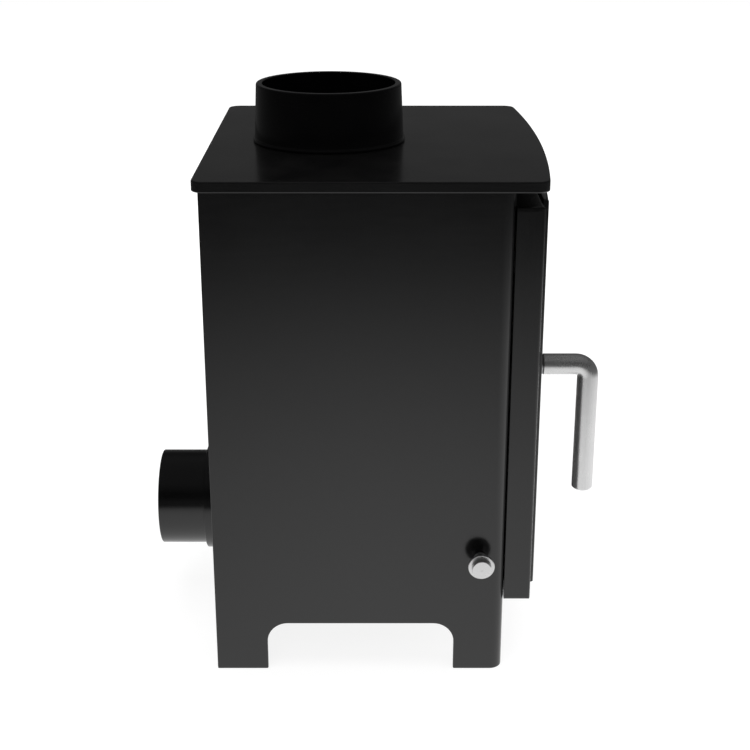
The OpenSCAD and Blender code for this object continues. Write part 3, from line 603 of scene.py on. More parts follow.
def paint(name, colour, roughness, squeeze, dust):
    """Satin stove paint over brushed plate: drawn lines show through, and edges rub bare."""
    material, n, shader, place = new_material(name, IOR=1.6)
    grain = effect(n, "grain", place, Squeeze=squeeze, Cloud_size=14.0)
    worn = effect(n, "wear", place, Width=0.7 * MM, Break=210.0)["Mask"]
    dusty = effect(n, "dust", place, Amount=dust)["Mask"]
    clouded = n.mix(n.span(grain["Clouds"], 0.3, 0.7), rgba(colour, 0.82), rgba(colour, 1.2))
    lined = n.mix(n.span(grain["Lines"], 0.35, 0.7, 0.0, 0.35), clouded, rgba(colour, 2.2))
    rubbed = n.mix(n.times(worn, 0.3), lined, RUBBED_PAINT)
    rough = n.plus(n.span(grain["Lines"], 0.3, 0.7, roughness - 0.03, roughness + 0.04),
                   n.span(grain["Clouds"], 0.3, 0.7, -0.02, 0.02))
    peel = n.noise(place, 1500.0, 2.0)
    dress(n, shader, n.mix(dusty, rubbed, DUST_GREY), n.plus(rough, n.times(dusty, 0.4)),
          n.plus(n.times(grain["Lines"], 0.7), n.times(peel, 0.5)), 0.02 * MM, 0.35)
    return material


def cast_paint(name, colour, roughness, ior):
    """Stove paint over a casting or a rolled tube, close and dark."""
    material, n, shader, place = new_material(name, IOR=ior)
    worn = effect(n, "wear", place, Width=0.8 * MM, Break=180.0)["Mask"]
    clouds = n.noise(place, 30.0)
    base = n.mix(n.span(clouds, 0.35, 0.65), rgba(colour, 0.8), rgba(colour, 1.3))
    dress(n, shader, n.mix(n.times(worn, 0.2), base, RUBBED_CASTING),
          n.span(clouds, 0.3, 0.7, roughness - 0.03, roughness + 0.04),
          effect(n, "casting", place)["Height"], 0.02 * MM, 0.15)
    return material


def bare_iron(name, colour):
    """Unpainted grate iron: sandy skin, soot in the pits and a rusty bloom in patches."""
    material, n, shader, place = new_material(name, Metallic=0.35)
    sand = effect(n, "casting", place)
    worn = effect(n, "wear", place, Width=1.2 * MM, Break=90.0)["Mask"]
    bloom = n.span(n.noise(place, 45.0, 5.0, 0.7), 0.52, 0.7, 0.0, 0.5)
    sooty = n.mix(sand["Pits"], n.mix(bloom, rgba(colour), RUST), rgba(colour, 0.4))
    dress(n, shader, n.mix(n.times(worn, 0.6), sooty, RUBBED_IRON),
          n.span(worn, 0.0, 1.0, 0.72, 0.45), sand["Height"], 0.16 * MM, 0.6)
    return material


def scorched(name, colour):
    """Mild steel darkened by heat, with a faint straw and blue bloom and drifts of ash."""
    material, n, shader, place = new_material(name, Metallic=0.6)
    grain = effect(n, "grain", place, Squeeze=(25.0, 900.0, 900.0), Cloud_size=9.0)
    dusty = effect(n, "dust", place, Amount=0.45)["Mask"]
    base = n.mix(n.span(grain["Clouds"], 0.35, 0.7), rgba(colour), HEAT_BLOOM)
    dress(n, shader, n.mix(dusty, base, ASH_GREY), n.span(grain["Lines"], 0.3, 0.7, 0.45, 0.62),
          grain["Lines"], 0.03 * MM, 0.4)
    return material


def metal(name, colour, roughness, squeeze, metallic=1.0):
    """Bare machined or brushed steel with fine lines and a little handling wear."""
    material, n, shader, place = new_material(name, Metallic=metallic)
    grain = effect(n, "grain", place, Squeeze=squeeze, Cloud_size=60.0)
    base = n.mix(n.span(grain["Lines"], 0.3, 0.7), rgba(colour, 0.93), rgba(colour, 1.05))
    rough = n.span(grain["Lines"], 0.3, 0.7, roughness - 0.05, roughness + 0.05)
    smear = n.span(grain["Clouds"], 0.35, 0.7, 0.0, 0.06)
    dress(n, shader, base, n.plus(rough, smear), grain["Lines"], 0.01 * MM, 0.3)
    return material


def galvanised(name):
    """Zinc-dipped sheet: interlocking spangles in slightly different greys, dusted with ash."""
    material, n, shader, place = new_material(name, Metallic=0.9)
    spangle = n.cells(place, 130.0)
    tone = n.add("SeparateColor", {0: spangle["Color"]}).outputs[0]
    dusty = effect(n, "dust", place, Amount=0.6)["Mask"]
    dress(n, shader, n.mix(dusty, n.mix(tone, DARK_SPANGLE, PALE_SPANGLE), PAN_ASH),
          n.span(tone, 0.0, 1.0, 0.32, 0.5), spangle["Distance"], 0.02 * MM, 0.3)
    return material


def fire_brick(name, colour):
    """Pressed mineral board: bright and dark flakes in a buff ground, sooted towards the top."""
    material, n, shader, place = new_material(name, Specular_IOR_Level=0.3)
    flakes = n.cells(place, 330.0)
    tone = n.add("SeparateColor", {0: flakes["Color"]}).outputs[0]
    clouds = n.noise(place, 16.0, 5.0, 0.6)
    ground = n.mix(n.span(clouds, 0.3, 0.7), rgba(colour, 0.85), rgba(colour, 1.12))
    flaked = n.mix(n.span(tone, 0.72, 0.95, 0.0, 0.7), ground, rgba(colour, 0.45))
    # The palest flakes are lifted further towards a pale tint: real flakes carrying a painted
    # glint
    painted_glint = n.mix(n.span(tone, 0.0, 0.12, 0.55, 0.0), flaked, BRICK_PAINTED_GLINT)
    worn = effect(n, "wear", place, Width=2.0 * MM, Break=120.0)["Mask"]
    soot = n.times(n.span(n.part(place, "Z"), 0.20, 0.40, 0.05, 0.5),
                   n.span(clouds, 0.35, 0.6, 0.3, 1.0))
    sooted = n.mix(soot, painted_glint, BRICK_SOOT)
    dress(n, shader, n.mix(n.times(worn, 0.5), sooted, rgba(colour, 1.25)),
          n.span(tone, 0.0, 1.0, 0.78, 0.95),
          n.plus(flakes["Distance"], n.noise(place, 700.0, 4.0, 0.7)), 0.25 * MM, 0.5)
    return material


def heat_glass(name):
    """Heat-proof window glass, faintly smoky, with a thin film in patches."""
    material, n, shader, place = new_material(name, Transmission_Weight=1.0, IOR=1.5)
    film = n.span(n.noise(place, 12.0, 4.0, 0.6), 0.4, 0.75)
    dress(n, shader, n.mix(film, CLEAR_GLASS, FILMED_GLASS), n.span(film, 0.0, 1.0, 0.02, 0.07))
    return material


def yarn(name, colour, count):
    """Plaited or woven glass-fibre yarn, matt, with a slight sheen of loose fibres."""
    material, n, shader, place = new_material(name, Sheen_Weight=0.25, Sheen_Roughness=0.5)
    plait = effect(n, "weave", place, Count=count)["Height"]
    dusty = n.noise(place, 240.0, 4.0, 0.65)
    # The plait is painted darker in its grooves and lighter on its crowns: painted shade and
    # painted light
    base = n.mix(n.span(plait, -0.2, 1.0), rgba(colour, 0.45), rgba(colour, 1.25))
    dress(n, shader, n.mix(n.span(dusty, 0.5, 0.75, 0.0, 0.4), base, rgba(colour, 1.9)),
          n.span(dusty, 0.3, 0.7, 0.8, 0.95), plait, 0.35 * MM, 0.7)
    return material


# The finished materials by the slot that they belong to; the handle has one of its own
MATERIALS = {}


class STOVE_OT_finishes(bpy.types.Operator):
    """Makes the shared shader effects and the material of every finish on the stove."""

    bl_idname = "stove.finishes"
    bl_label = "Finishes"

    def execute(self, context):
        finish = context.scene.stove_finish
        GROUPS.update(grain=grain_group(), wear=wear_group(), dust=dust_group(),
                      casting=casting_group(), weave=weave_group())
        # Lines drawn along an axis are squeezed across it, and rolled ones have no direction
        across, along = 1400.0, 22.0
        sideways, lengthwise = (along, across, across), (across, along, across)
        upright, rolled = (across, across, along), (300.0,) * 3
        rough = finish.paint_roughness
        MATERIALS.update(
            casing=paint("Casing paint", finish.paint, rough, lengthwise, 0.05),
            top=paint("Top plate paint", finish.paint, rough, lengthwise, 0.05),
            door=paint("Door paint", finish.paint, rough, upright, 0.04),
            collar=cast_paint("Collar paint", finish.flue_paint, 0.20, 1.38),
            inlet=cast_paint("Spigot paint", finish.flue_paint, 0.20, 1.60),
            inner_steel=scorched("Scorched steel", finish.scorched_steel),
            fire_brick=fire_brick("Fire brick", finish.brick),
            grate_iron=bare_iron("Grate iron", finish.grate_iron),
            pan_steel=galvanised("Galvanised sheet"),
            handle=metal("Handle steel", finish.bright_steel, 0.28, upright, metallic=0.94),
            bright_steel=metal("Bright steel", finish.bright_steel, 0.26, sideways),
            plain_steel=metal("Plain steel", finish.plain_steel, 0.34, sideways),
            fastener=metal("Zinc-plated steel", (0.50, 0.50, 0.48), 0.38, rolled),
            window=heat_glass("Window glass"),
            gasket=yarn("Gasket tape", (0.62, 0.60, 0.55), 2400.0),
            rope_seal=yarn("Rope seal", finish.rope, 1400.0),
        )
        return {"FINISHED"}


def bow_radius(shape):
    """Radius of the bow: half the width squared plus the rise squared, over twice the rise."""
    return (high("top_plate", X) ** 2 + shape.bow_rise ** 2) / (2 * shape.bow_rise)


def plate_outline(shape):
    """The top plate's outline in plan and its normals.

    The front is an arc of the bow's radius. Each front corner is an arc that touches the bow and
    the side.
    """
    half, nose = high("top_plate", X), low("top_plate", Y)
    rear, corner = high("top_plate", Y), shape.plate_corner
    bow = bow_radius(shape)
    bow_centre = np.array([0.0, nose + bow])
    corner_x = half - corner
    corner_y = bow_centre[1] - math.sqrt((bow - corner) ** 2 - corner_x ** 2)
    reach = math.atan2(corner_x, bow_centre[1] - corner_y)
    bow_points, arc_points = 49, 13
    turn = np.concatenate([
        np.linspace(-reach, reach, bow_points), np.linspace(reach, np.pi / 2, arc_points)[1:],
        np.linspace(np.pi / 2, np.pi, arc_points),
        np.linspace(np.pi, 3 * np.pi / 2, arc_points),
        np.linspace(-np.pi / 2, -reach, arc_points)[:-1]])
    normals = np.stack([np.sin(turn), -np.cos(turn)], 1)
    counts = (bow_points, arc_points - 1, arc_points, arc_points, arc_points - 1)
    centres = np.repeat(np.array([bow_centre, [corner_x, corner_y], [corner_x, rear - corner],
                                  [-corner_x, rear - corner], [-corner_x, corner_y]]), counts, 0)
    radii = np.repeat([bow, corner, corner, corner, corner], counts)[:, None]
    return centres + radii * normals, normals


class STOVE_OT_top_plate(bpy.types.Operator):
    """Builds the bowed top plate with its rounded edges and the hole for the collar."""

    bl_idname = "stove.top_plate"
    bl_label = "Top plate"

    def execute(self, context):
        shape = context.scene.stove_shape
        hole_radius = 72 * MM
        hole = (middle("flue_collar")[:2], hole_radius)
        shell = holed_slab(plate_outline(shape), hole, low("top_plate", Z),
                           high("top_plate", Z), shape.plate_edge, Z)
        build("top_plate_steel", [shell], "body", "top", "top_plate")
        return {"FINISHED"}


def fold(flat, depth, shape, side):
    """Carries a flat plate round the folded front corner.

    flat holds the distance along the outer face from the back, and the height. Up to the fold
    the plate runs along the side; then it turns a quarter circle; then it runs along the front.
    side is -1 for the left plate and 1 for the right one, which mirror each other.
    """
    along, height = flat[..., 0], flat[..., 1]
    radius = shape.fold_radius
    half, front = high("right_side_plate", X), low("right_side_plate", Y)
    straight = high("right_side_plate", Y) - front - radius
    angle = np.clip((along - straight) / radius, 0, np.pi / 2)
    before = np.minimum(along, straight)
    beyond = np.maximum(along - straight - radius * np.pi / 2, 0)
    x = half - radius + (radius - depth) * np.cos(angle) - beyond
    y = high("right_side_plate", Y) - before - (radius - depth) * np.sin(angle)
    return np.stack([side * x, y, height], -1)


class STOVE_OT_side_plates(bpy.types.Operator):
    """Builds the two side plates, each cut out between its legs and folded at the front."""

    bl_idname = "stove.side_plates"
    bl_label = "Side plates"

    def execute(self, context):
        shape = context.scene.stove_shape
        for side, node in ((-1, "left_side_plate"), (1, "right_side_plate")):
            build(node + "_steel", [self.plate(shape, side)], "body", "casing", node)
        return {"FINISHED"}

    def plate(self, shape, side):
        """Rings round the flat plate's outline, folded, with faces laid between their ends.

        Along its lower and upper edges the outline has even points where the fold turns. The
        side face and the front face end there, and strips join them through the fold.
        """
        depth = high("right_side_plate", Y) - low("right_side_plate", Y)
        top, edge, steps, bend = high("right_side_plate", Z), shape.sheet_edge, 10, 14
        straight, arc = depth - shape.fold_radius, shape.fold_radius * np.pi / 2
        end = straight + arc + high("right_side_plate", X) - shape.fold_radius - (
            high("front_top_rail", X))
        arch0, arch1, arch_z = shape.rear_leg, depth - shape.front_leg, shape.arch_height
        eased, arched = 1.5 * edge, shape.arch_radius
        corners = [[0, 0], [arch0, 0], [arch0, arch_z], [arch1, arch_z], [arch1, 0],
                   [straight, 0], [end, 0], [end, top], [straight, top], [0, top]]
        radii = [eased, eased, arched, arched, eased, 0, eased, eased, 0, eased]
        corner = np.concatenate(filleted(corners, radii, steps), 1).reshape(-1, steps + 1, 4)
        turn = straight + arc * np.linspace(0, 1, bend)
        level = np.zeros(bend)
        lower_bend = np.stack([turn, level, level, level - 1], 1)
        upper_bend = np.stack([turn[::-1], level + top, level, level + 1], 1)
        outline = np.concatenate([corner[:5].reshape(-1, 4), lower_bend,
                                  corner[6:8].reshape(-1, 4), upper_bend, corner[9]])
        points, normals = outline[:, :2], outline[:, 2:]
        first = 5 * (steps + 1)
        second = first + bend + 2 * (steps + 1)
        insets, depths = edge_layers(0, shape.sheet, edge)
        rings = fold(inward((points, normals), insets), depths[:, None], shape, side)
        vertices, quads, _ = skin(rings)
        count = len(points)
        index = np.arange(count)
        lower = first + np.arange(bend)
        upper = (second + np.arange(bend))[::-1]
        strips = np.stack([lower[:-1], lower[1:], upper[1:], upper[:-1]], 1)
        side_face = np.concatenate([index[:first + 1], index[second + bend - 1:]])
        front_face = index[first + bend - 1:second + 1]
        last = (len(depths) - 1) * count
        faces = np.concatenate([quads, strips, strips + last])
        ends = [side_face, front_face, side_face + last, front_face + last]
        return vertices, faces, ends


class STOVE_OT_casing(bpy.types.Operator):
    """Builds the front rails and the back plate with its round air way."""

    bl_idname = "stove.casing"
    bl_label = "Rails and back plate"

    def execute(self, context):
        shape = context.scene.stove_shape
        build("front_top_rail_steel", [block(BOX["front_top_rail"], shape.small_edge, Y)],
              "body", "casing", "front_top_rail")
        soften("front_bottom_rail", "casing", edge=shape.small_edge)
        airway, corner = 46 * MM, 2 * MM
        lo, hi = BOX["back_plate"]
        outline = filleted(rectangle(lo, hi, Y), corner, steps=4, fill=6)
        hole = (middle("inlet_ring")[[X, Z]], airway)
        build("back_plate_steel", [holed_slab(outline, hole, lo[Y], hi[Y], shape.sheet_edge, Y)],
              "body", "casing", "back_plate")
        return {"FINISHED"}


class STOVE_OT_collar(bpy.types.Operator):
    """Turns the flue collar: flange under the plate, foot bead, flared wall and socket."""

    bl_idname = "stove.collar"
    bl_label = "Flue collar"

    def execute(self, context):
        plate, rim = high("top_plate", Z), high("flue_collar", Z)
        flange, under = high("flue_collar", X), low("top_plate", Z)
        socket, throat, neck, foot = 65 * MM, 60 * MM, 71.7 * MM, 73.3 * MM
        bead, bead_rise, rim_radius, step = 1.5 * MM, 3.5 * MM, 71 * MM, 45 * MM
        corners = [
            [throat, low("flue_collar", Z)], [flange, low("flue_collar", Z)], [flange, under],
            [neck, under], [neck, plate], [foot + bead, plate], [foot + bead, plate + bead_rise],
            [foot, plate + bead_rise], [rim_radius, rim], [socket, rim], [socket, rim - step],
            [throat, rim - step]]
        radii = np.array([0.8, 1.2, 0.8, 0.2, 0.2, 1.2, 1.4, 0.8, 1.4, 0.7, 0.6, 0.8]) * MM
        shell = lathe(turned(corners, radii), Z, middle("flue_collar"), count=144, wrapped=True)
        build("flue_collar_casting", [shell], "body", "collar", "flue_collar")
        soften("collar_bolts", "fastener", edge=0.4 * MM)
        return {"FINISHED"}


class STOVE_OT_air_inlet(bpy.types.Operator):
    """Turns the ring behind the body and the rolled spigot that stands in it."""

    bl_idname = "stove.air_inlet"
    bl_label = "Air inlet"

    def execute(self, context):
        ring, spigot = BOX["inlet_ring"], BOX["air_spigot"]
        centre = middle("inlet_ring")
        ring_outer, spigot_outer = half_size("inlet_ring", X), half_size("air_spigot", X)
        neck, wall, play = 0.8 * MM, 2 * MM, 0.15 * MM
        shell = tube(spigot_outer - neck + play, ring_outer, ring[0][Y], ring[1][Y], Y, centre,
                     edge=1.2 * MM, count=128)
        build("inlet_ring_steel", [shell], "body", "inlet", "inlet_ring")
        shoulder = ring[1][Y] + 2 * play
        bore, lip = spigot_outer - wall, 0.9 * MM
        corners = [[bore, spigot[0][Y]], [spigot_outer - neck, spigot[0][Y]],
                   [spigot_outer - neck, shoulder], [spigot_outer, shoulder],
                   [spigot_outer, spigot[1][Y]], [bore, spigot[1][Y]]]
        radii = [0.3 * MM, 0.3 * MM, 0.1 * MM, 0.2 * MM, lip, lip]
        shell = lathe(turned(corners, radii), Y, centre, count=128, wrapped=True)
        build("air_spigot_steel", [shell], "body", "inlet", "air_spigot")
        return {"FINISHED"}


class STOVE_OT_hinge(bpy.types.Operator):
    """Rounds the hinge lugs and turns the pins with domed heads and the washers."""

    bl_idname = "stove.hinge"
    bl_label = "Hinge"

    def execute(self, context):
        soften("hinge_lugs", "casing", edge=0.8 * MM)
        pins, washers = BOX["hinge_pins"], BOX["hinge_washers"]
        head_r, centre = half_size("hinge_pins", X), middle("hinge_pins")
        pin_r, reach, head, bevel = 4 * MM, 31 * MM, 2 * MM, 0.6 * MM
        # A head stands upright for the rim's share of its height. Above that it is domed: its
        # radius goes as the cosine and its height as the sine of an angle
        rim, dome = 0.25, 1.45 * np.linspace(0, 1, 6)[1:]
        shells = []
        for end, way in ((pins[1][Z], -1), (pins[0][Z], 1)):
            head_flat = end + way * head
            profile = [[pin_r - bevel, head_flat + way * (reach - head)],
                       [pin_r, head_flat + way * (reach - head - bevel)],
                       [pin_r, head_flat], [head_r - 0.1 * MM, head_flat]]
            arc = np.stack([head_r * np.cos(dome),
                            head_flat - way * head * (rim + (1 - rim) * np.sin(dome))], 1)
            arc[-1, 1] = end
            profile = np.concatenate([profile, [[head_r, head_flat - way * head * rim]], arc])
            shells.append(lathe(profile, Z, centre, count=40))
        build("hinge_pins_steel", shells, "body", "plain_steel", "hinge_pins")
        thick = 0.7 * MM
        rings = [tube(pin_r, half_size("hinge_washers", X), z, z + thick, Z, centre,
                      edge=0.15 * MM, count=40)
                 for z in (washers[0][Z], washers[1][Z] - thick)]
        build("hinge_washers_steel", rings, "body", "plain_steel", "hinge_washers")
        return {"FINISHED"}


def bowed(points, shape):
    """Where the door panel's bowed face lies along Y, at each point's X.

    It is the bow's centre less the root of the bow's radius squared less X squared.
    """
    bow = bow_radius(shape)
    return low("door_panel", Y) + bow - np.sqrt(bow ** 2 - points[..., X] ** 2)


class STOVE_OT_door(bpy.types.Operator):
    """Rounds the door frame and builds the bowed front panel round its window."""

    bl_idname = "stove.door"
    bl_label = "Door"

    def execute(self, context):
        shape = context.scene.stove_shape
        soften("door_frame", "door", edge=1.2 * MM)
        lo, hi = BOX["door_panel"]
        corner, side_edge, lip = 1.5 * MM, 1.4 * MM, 1.6 * MM
        steps, fill = 6, 24
        opening = np.array([shape.window_width, 0, shape.window_height]) / 2
        centre = np.array([0, 0, middle("door_panel")[Z]])
        outer = filleted(rectangle(lo, hi, Y), corner, steps, fill)
        window = filleted(rectangle(centre - opening, centre + opening, Y),
                          shape.window_corner, steps, fill)
        t = np.linspace(0, np.pi / 2, steps + 1)

        def at(outline, inset, drop):
            """The outline moved inwards, at a depth behind the bowed face."""
            flat = outline[0] - inset * outline[1]
            points = lay(flat, 0.0, Y)
            points[..., Y] = bowed(points, shape) + drop
            return points

        # The panel's upper and lower edges are wide rounds, its upright edges are slightly eased,
        # and the radius goes from one to the other as the square of the normal's upward part
        tall = np.abs(outer[1][:, 1:]) ** 2
        reach = side_edge + (shape.panel_edge - side_edge) * tall
        rings = [at(outer, reach * (1 - np.sin(a)), (reach * (1 - np.cos(a)))[:, 0])
                 for a in t[::-1]]
        rings += [at(outer, reach + HOLD, 0.0)]
        across = np.linspace(0.0, 1.0, 7)[1:-1]
        inner_ring = at(window, -lip - HOLD, 0.0)
        rings += [rings[-1] * (1 - s) + inner_ring * s for s in across]
        for ring in rings[-len(across):]:
            ring[..., Y] = bowed(ring, shape)
        rings += [inner_ring]
        rings += [at(window, -lip * (1 - np.sin(a)), lip * (1 - np.cos(a))) for a in t]
        rings += [lay(window[0], hi[Y], Y), lay(outer[0], hi[Y], Y)]
        build("door_panel_steel", [skin(np.array(rings), wrapped=True)], "door", "door",
              "door_panel")
        return {"FINISHED"}


class STOVE_OT_window(bpy.types.Operator):
    """Builds the door's glass and its gasket tape, and softens the clips."""

    bl_idname = "stove.window"
    bl_label = "Window"

    def execute(self, context):
        lo, hi = BOX["door_glass"]
        edge, corner, tape = 0.7 * MM, 1 * MM, 9 * MM
        outline = filleted(rectangle(lo, hi, Y), 1.2 * MM, steps=4)
        build("door_glass_pane", [slab(outline, lo[Y], hi[Y], edge, Y)], "door", "window",
              "door_glass")
        lo, hi = BOX["glass_gasket"]
        outer = filleted(rectangle(lo, hi, Y), corner, steps=4)
        inner = filleted(rectangle(lo, hi, Y, tape), corner, steps=4)
        insets, depths = edge_layers(lo[Y], hi[Y], edge)
        rings = lay(np.concatenate([inward(outer, insets), inward(inner, -insets[::-1])]),
                    np.concatenate([depths, depths[::-1]])[:, None], Y)
        build("glass_gasket_tape", [skin(rings, wrapped=True)], "door", "gasket", "glass_gasket")
        soften("glass_clips", "plain_steel", edge=0.3 * MM)
        return {"FINISHED"}


class STOVE_OT_rope(bpy.types.Operator):
    """Lays the plaited rope seal in the groove round the back of the door."""

    bl_idname = "stove.rope"
    bl_label = "Rope seal"

    def execute(self, context):
        lo, hi = BOX["door_rope"]
        half, bend, lay_length = half_size("door_rope", Y), 14 * MM, 26 * MM
        path, normals = filleted(rectangle(lo, hi, Y, half), bend, steps=20, fill=220)
        step = np.linalg.norm(np.diff(path, axis=0, append=path[:1]), axis=1)
        along = np.concatenate([[0.0], np.cumsum(step)[:-1]])
        turns = round(step.sum() / lay_length)
        phase = 2 * np.pi * turns * along / step.sum()
        angle = np.linspace(0, 2 * np.pi, 24, endpoint=False)[:, None]
        # The section is a rounded square with eight strands that cross in two families
        filling, squareness, relief = 0.90, 1.08, 0.05
        square = (np.cos(angle) ** 4 + np.sin(angle) ** 4) ** -0.25
        strands = np.maximum(np.cos(4 * angle + phase), np.cos(4 * angle - phase))
        radius = half * filling * np.minimum(square, squareness) * (
            1 + relief * strands) / squareness
        out = path + (radius * np.cos(angle))[..., None] * normals
        rings = lay(out, middle("door_rope")[Y] + radius * np.sin(angle), Y)
        build("door_rope_plait", [skin(rings, wrapped=True)], "door", "rope_seal", "door_rope")
        return {"FINISHED"}


class STOVE_OT_handle(bpy.types.Operator):
    """Sweeps the handle from its spindle to its tip, turns its bush and softens the latch.

    The handle is a round section carried along the spindle, the arm, the bend and the bar.
    """

    bl_idname = "stove.handle"
    bl_label = "Handle and latch"

    def execute(self, context):
        shape = context.scene.stove_shape
        lo, hi = BOX["door_handle"]
        radius, centre_x = half_size("door_handle", X), middle("door_handle")[X]
        arm_z, bar_y, tip = hi[Z] - radius, lo[Y] + radius, lo[Z]
        bend, bevel, spindle = shape.handle_bend, shape.tip_bevel, 6 * MM
        shoulder = low("handle_bush", Y) - 0.3 * MM
        eased = 0.8 * MM
        turn = np.linspace(0, np.pi / 2, 25)
        straight_y = [hi[Y], hi[Y] - eased, shoulder + HOLD, shoulder, shoulder,
                      shoulder - HOLD, shoulder - eased, shoulder - 2 * eased]
        straight_r = [spindle - eased, spindle, spindle, spindle, radius - eased,
                      radius - eased * 0.7, radius, radius]
        arm = np.array([[y, arm_z] for y in straight_y])
        arc = np.stack([bar_y + bend * (1 - np.sin(turn)), arm_z - bend * (1 - np.cos(turn))], 1)
        drop_z = [arm_z - bend - HOLD, tip + bevel + 2 * HOLD, tip + bevel + HOLD,
                  tip + bevel - HOLD, tip + HOLD, tip, tip]
        drop_r = [radius, radius, radius - 0.05 * MM, radius - 0.3 * MM,
                  radius - bevel + HOLD, radius - bevel - HOLD, radius - bevel - 3 * HOLD]
        bar = np.array([[bar_y, z] for z in drop_z])
        path = np.concatenate([arm, arc, bar])
        radii = np.concatenate([straight_r, np.full(len(arc), radius), drop_r])
        lean = np.concatenate([np.zeros(len(arm)), turn, np.full(len(bar), np.pi / 2)])
        unit = unit_circle(56)
        # Across the path the section spans X and the direction that stands square to the path
        square = np.stack([-np.sin(lean), np.cos(lean)], 1)
        flat = path[:, None] + (radii[:, None] * unit[:, 1])[..., None] * square[:, None]
        rings = lay(flat, centre_x + radii[:, None] * unit[:, 0], X)
        build("door_handle_bar", [skin(rings)], "handle", "bright_steel", "door_handle",
              finish="handle")
        lo, hi = BOX["handle_bush"]
        shell = tube(spindle + PLAY, half_size("handle_bush", X), lo[Y], hi[Y], Y,
                     (centre_x, 0, arm_z), edge=0.35 * MM, count=64)
        build("handle_bush_steel", [shell], "door", "plain_steel", "handle_bush")
        for node in ("latch_cam", "latch_keeper"):
            soften(node, "plain_steel", edge=0.6 * MM)
        soften("handle_nut", "fastener", edge=0.5 * MM)
        return {"FINISHED"}


class STOVE_OT_riddling(bpy.types.Operator):
    """Turns the riddling knob and its rod, and the bush that the rod slides in."""

    bl_idname = "stove.riddling"
    bl_label = "Riddling gear"

    def execute(self, context):
        shape = context.scene.stove_shape
        knob, rod, bush = BOX["riddling_knob"], BOX["riddling_rod"], BOX["rod_bush"]
        edge, centre = shape.small_edge, middle("riddling_knob")
        flange_r = half_size("riddling_knob", Z)
        cap_r, cap, disc = flange_r * CAP_SHARE, 6 * MM, 2.5 * MM
        face = knob[0][X]
        neck_r, rod_r, pole = 6.25 * MM, 4 * MM, 1 * MM
        corners = [[pole, knob[1][X]], [neck_r, knob[1][X]], [neck_r, face + cap + disc],
                   [flange_r, face + cap + disc], [flange_r, face + cap], [cap_r, face + cap],
                   [cap_r, face], [pole, face]]
        radii = np.array([0.0, 0.5, 0.6, 0.8, 0.8, 0.6, 0.9, 0.0]) * MM
        build("riddling_knob_turned", [lathe(turned(corners, radii), X, centre, count=96)],
              "riddling", "bright_steel", "riddling_knob")
        thin = 3 * MM
        lug = low("rod_nuts", X) - 0.3 * MM
        profile = [[rod_r - edge, rod[0][X]], [rod_r, rod[0][X] + edge], [rod_r, lug - edge],
                   [rod_r - edge, lug], [thin, lug], [thin, lug + HOLD],
                   [thin, rod[1][X] - edge], [thin - edge, rod[1][X]]]
        build("riddling_rod_turned", [lathe(profile, X, centre, count=48)], "riddling",
              "plain_steel", "riddling_rod")
        shell = tube(rod_r + PLAY, half_size("rod_bush", Z), bush[0][X], bush[1][X], X, centre,
                     edge=0.4 * MM, count=64)
        build("rod_bush_turned", [shell], "body", "plain_steel", "rod_bush")
        soften("rod_nuts", "fastener", edge=0.4 * MM)
        return {"FINISHED"}


class STOVE_OT_air_control(bpy.types.Operator):
    """Turns the air knob and softens the ported slide behind it."""

    bl_idname = "stove.air_control"
    bl_label = "Air control"

    def execute(self, context):
        radius = half_size("air_knob", X)
        cap_r, flange, pole = radius * CAP_SHARE, 2 * MM, 1 * MM
        face, back = BOX["air_knob"][:, Y]
        corners = [[radius, back], [radius, back - flange], [cap_r, back - flange], [cap_r, face]]
        insets = np.array([0.5, 0.5, 0.5, 0.8]) * MM
        steps = 4
        points = filleted(np.array([[0, back], *corners, [0, face]])[::-1],
                          np.array([0, *insets, 0])[::-1], steps)[0]
        # The two corners on the axis give way to small poles
        profile = np.concatenate([[[pole, face]], points[steps + 1:-steps - 1], [[pole, back]]])
        build("air_knob_turned", [lathe(profile, Y, middle("air_knob"))], "air_control",
              "bright_steel", "air_knob")
        soften("air_slide", "plain_steel", edge=0.3 * MM)
        return {"FINISHED"}


class STOVE_OT_firebox(bpy.types.Operator):
    """Builds the fire bricks and the baffle, and softens the castings of the grate."""

    bl_idname = "stove.firebox"
    bl_label = "Firebox"

    def execute(self, context):
        shape = context.scene.stove_shape
        for node in ("left_brick", "right_brick", "rear_brick", "baffle"):
            build(node + "_board", [block(BOX[node], edge=1.6 * MM, steps=4)], "body",
                  "fire_brick", node)
        for node in ("grate_frame", "fuel_guard", "riddling_grate"):
            soften(node, "grate_iron", edge=shape.cast_edge)
        return {"FINISHED"}


class STOVE_OT_ash_pan(bpy.types.Operator):
    """Builds the ash pan as one folded tray with eased corners, and its grip."""

    bl_idname = "stove.ash_pan"
    bl_label = "Ash pan"

    def execute(self, context):
        lo, hi = BOX["ash_pan"]
        wall, foot, corner = 1.5 * MM, 1.2 * MM, 4 * MM
        grip_out, grip_half, grip_t = 5 * MM, 30 * MM, 3 * MM
        front = lo[Y] + grip_out
        outline = filleted(rectangle([lo[X], front, lo[Z]], hi, Z), corner)
        inset = np.array([foot + 2 * HOLD, foot, foot * 0.3, 0, 0, wall * 0.15, wall * 0.5,
                          wall * 0.85, wall, wall, wall + foot * 0.3, wall + foot,
                          wall + foot + 2 * HOLD])
        rise = np.array([0, 0, foot * 0.3, foot, -wall * 0.5, -wall * 0.15, 0, -wall * 0.15,
                         -wall * 0.5, wall + foot, wall + foot * 0.3, wall, wall])
        base = np.where(rise < 0, hi[Z], lo[Z])
        base[[6]] = hi[Z]
        tray = skin(lay(inward(outline, inset), (base + rise)[:, None], Z))
        grip = block([[-grip_half, lo[Y], hi[Z] - grip_t], [grip_half, front + wall / 2, hi[Z]]],
                     edge=0.5 * MM)
        build("ash_pan_sheet", [tray, grip], "body", "pan_steel", "ash_pan")
        return {"FINISHED"}


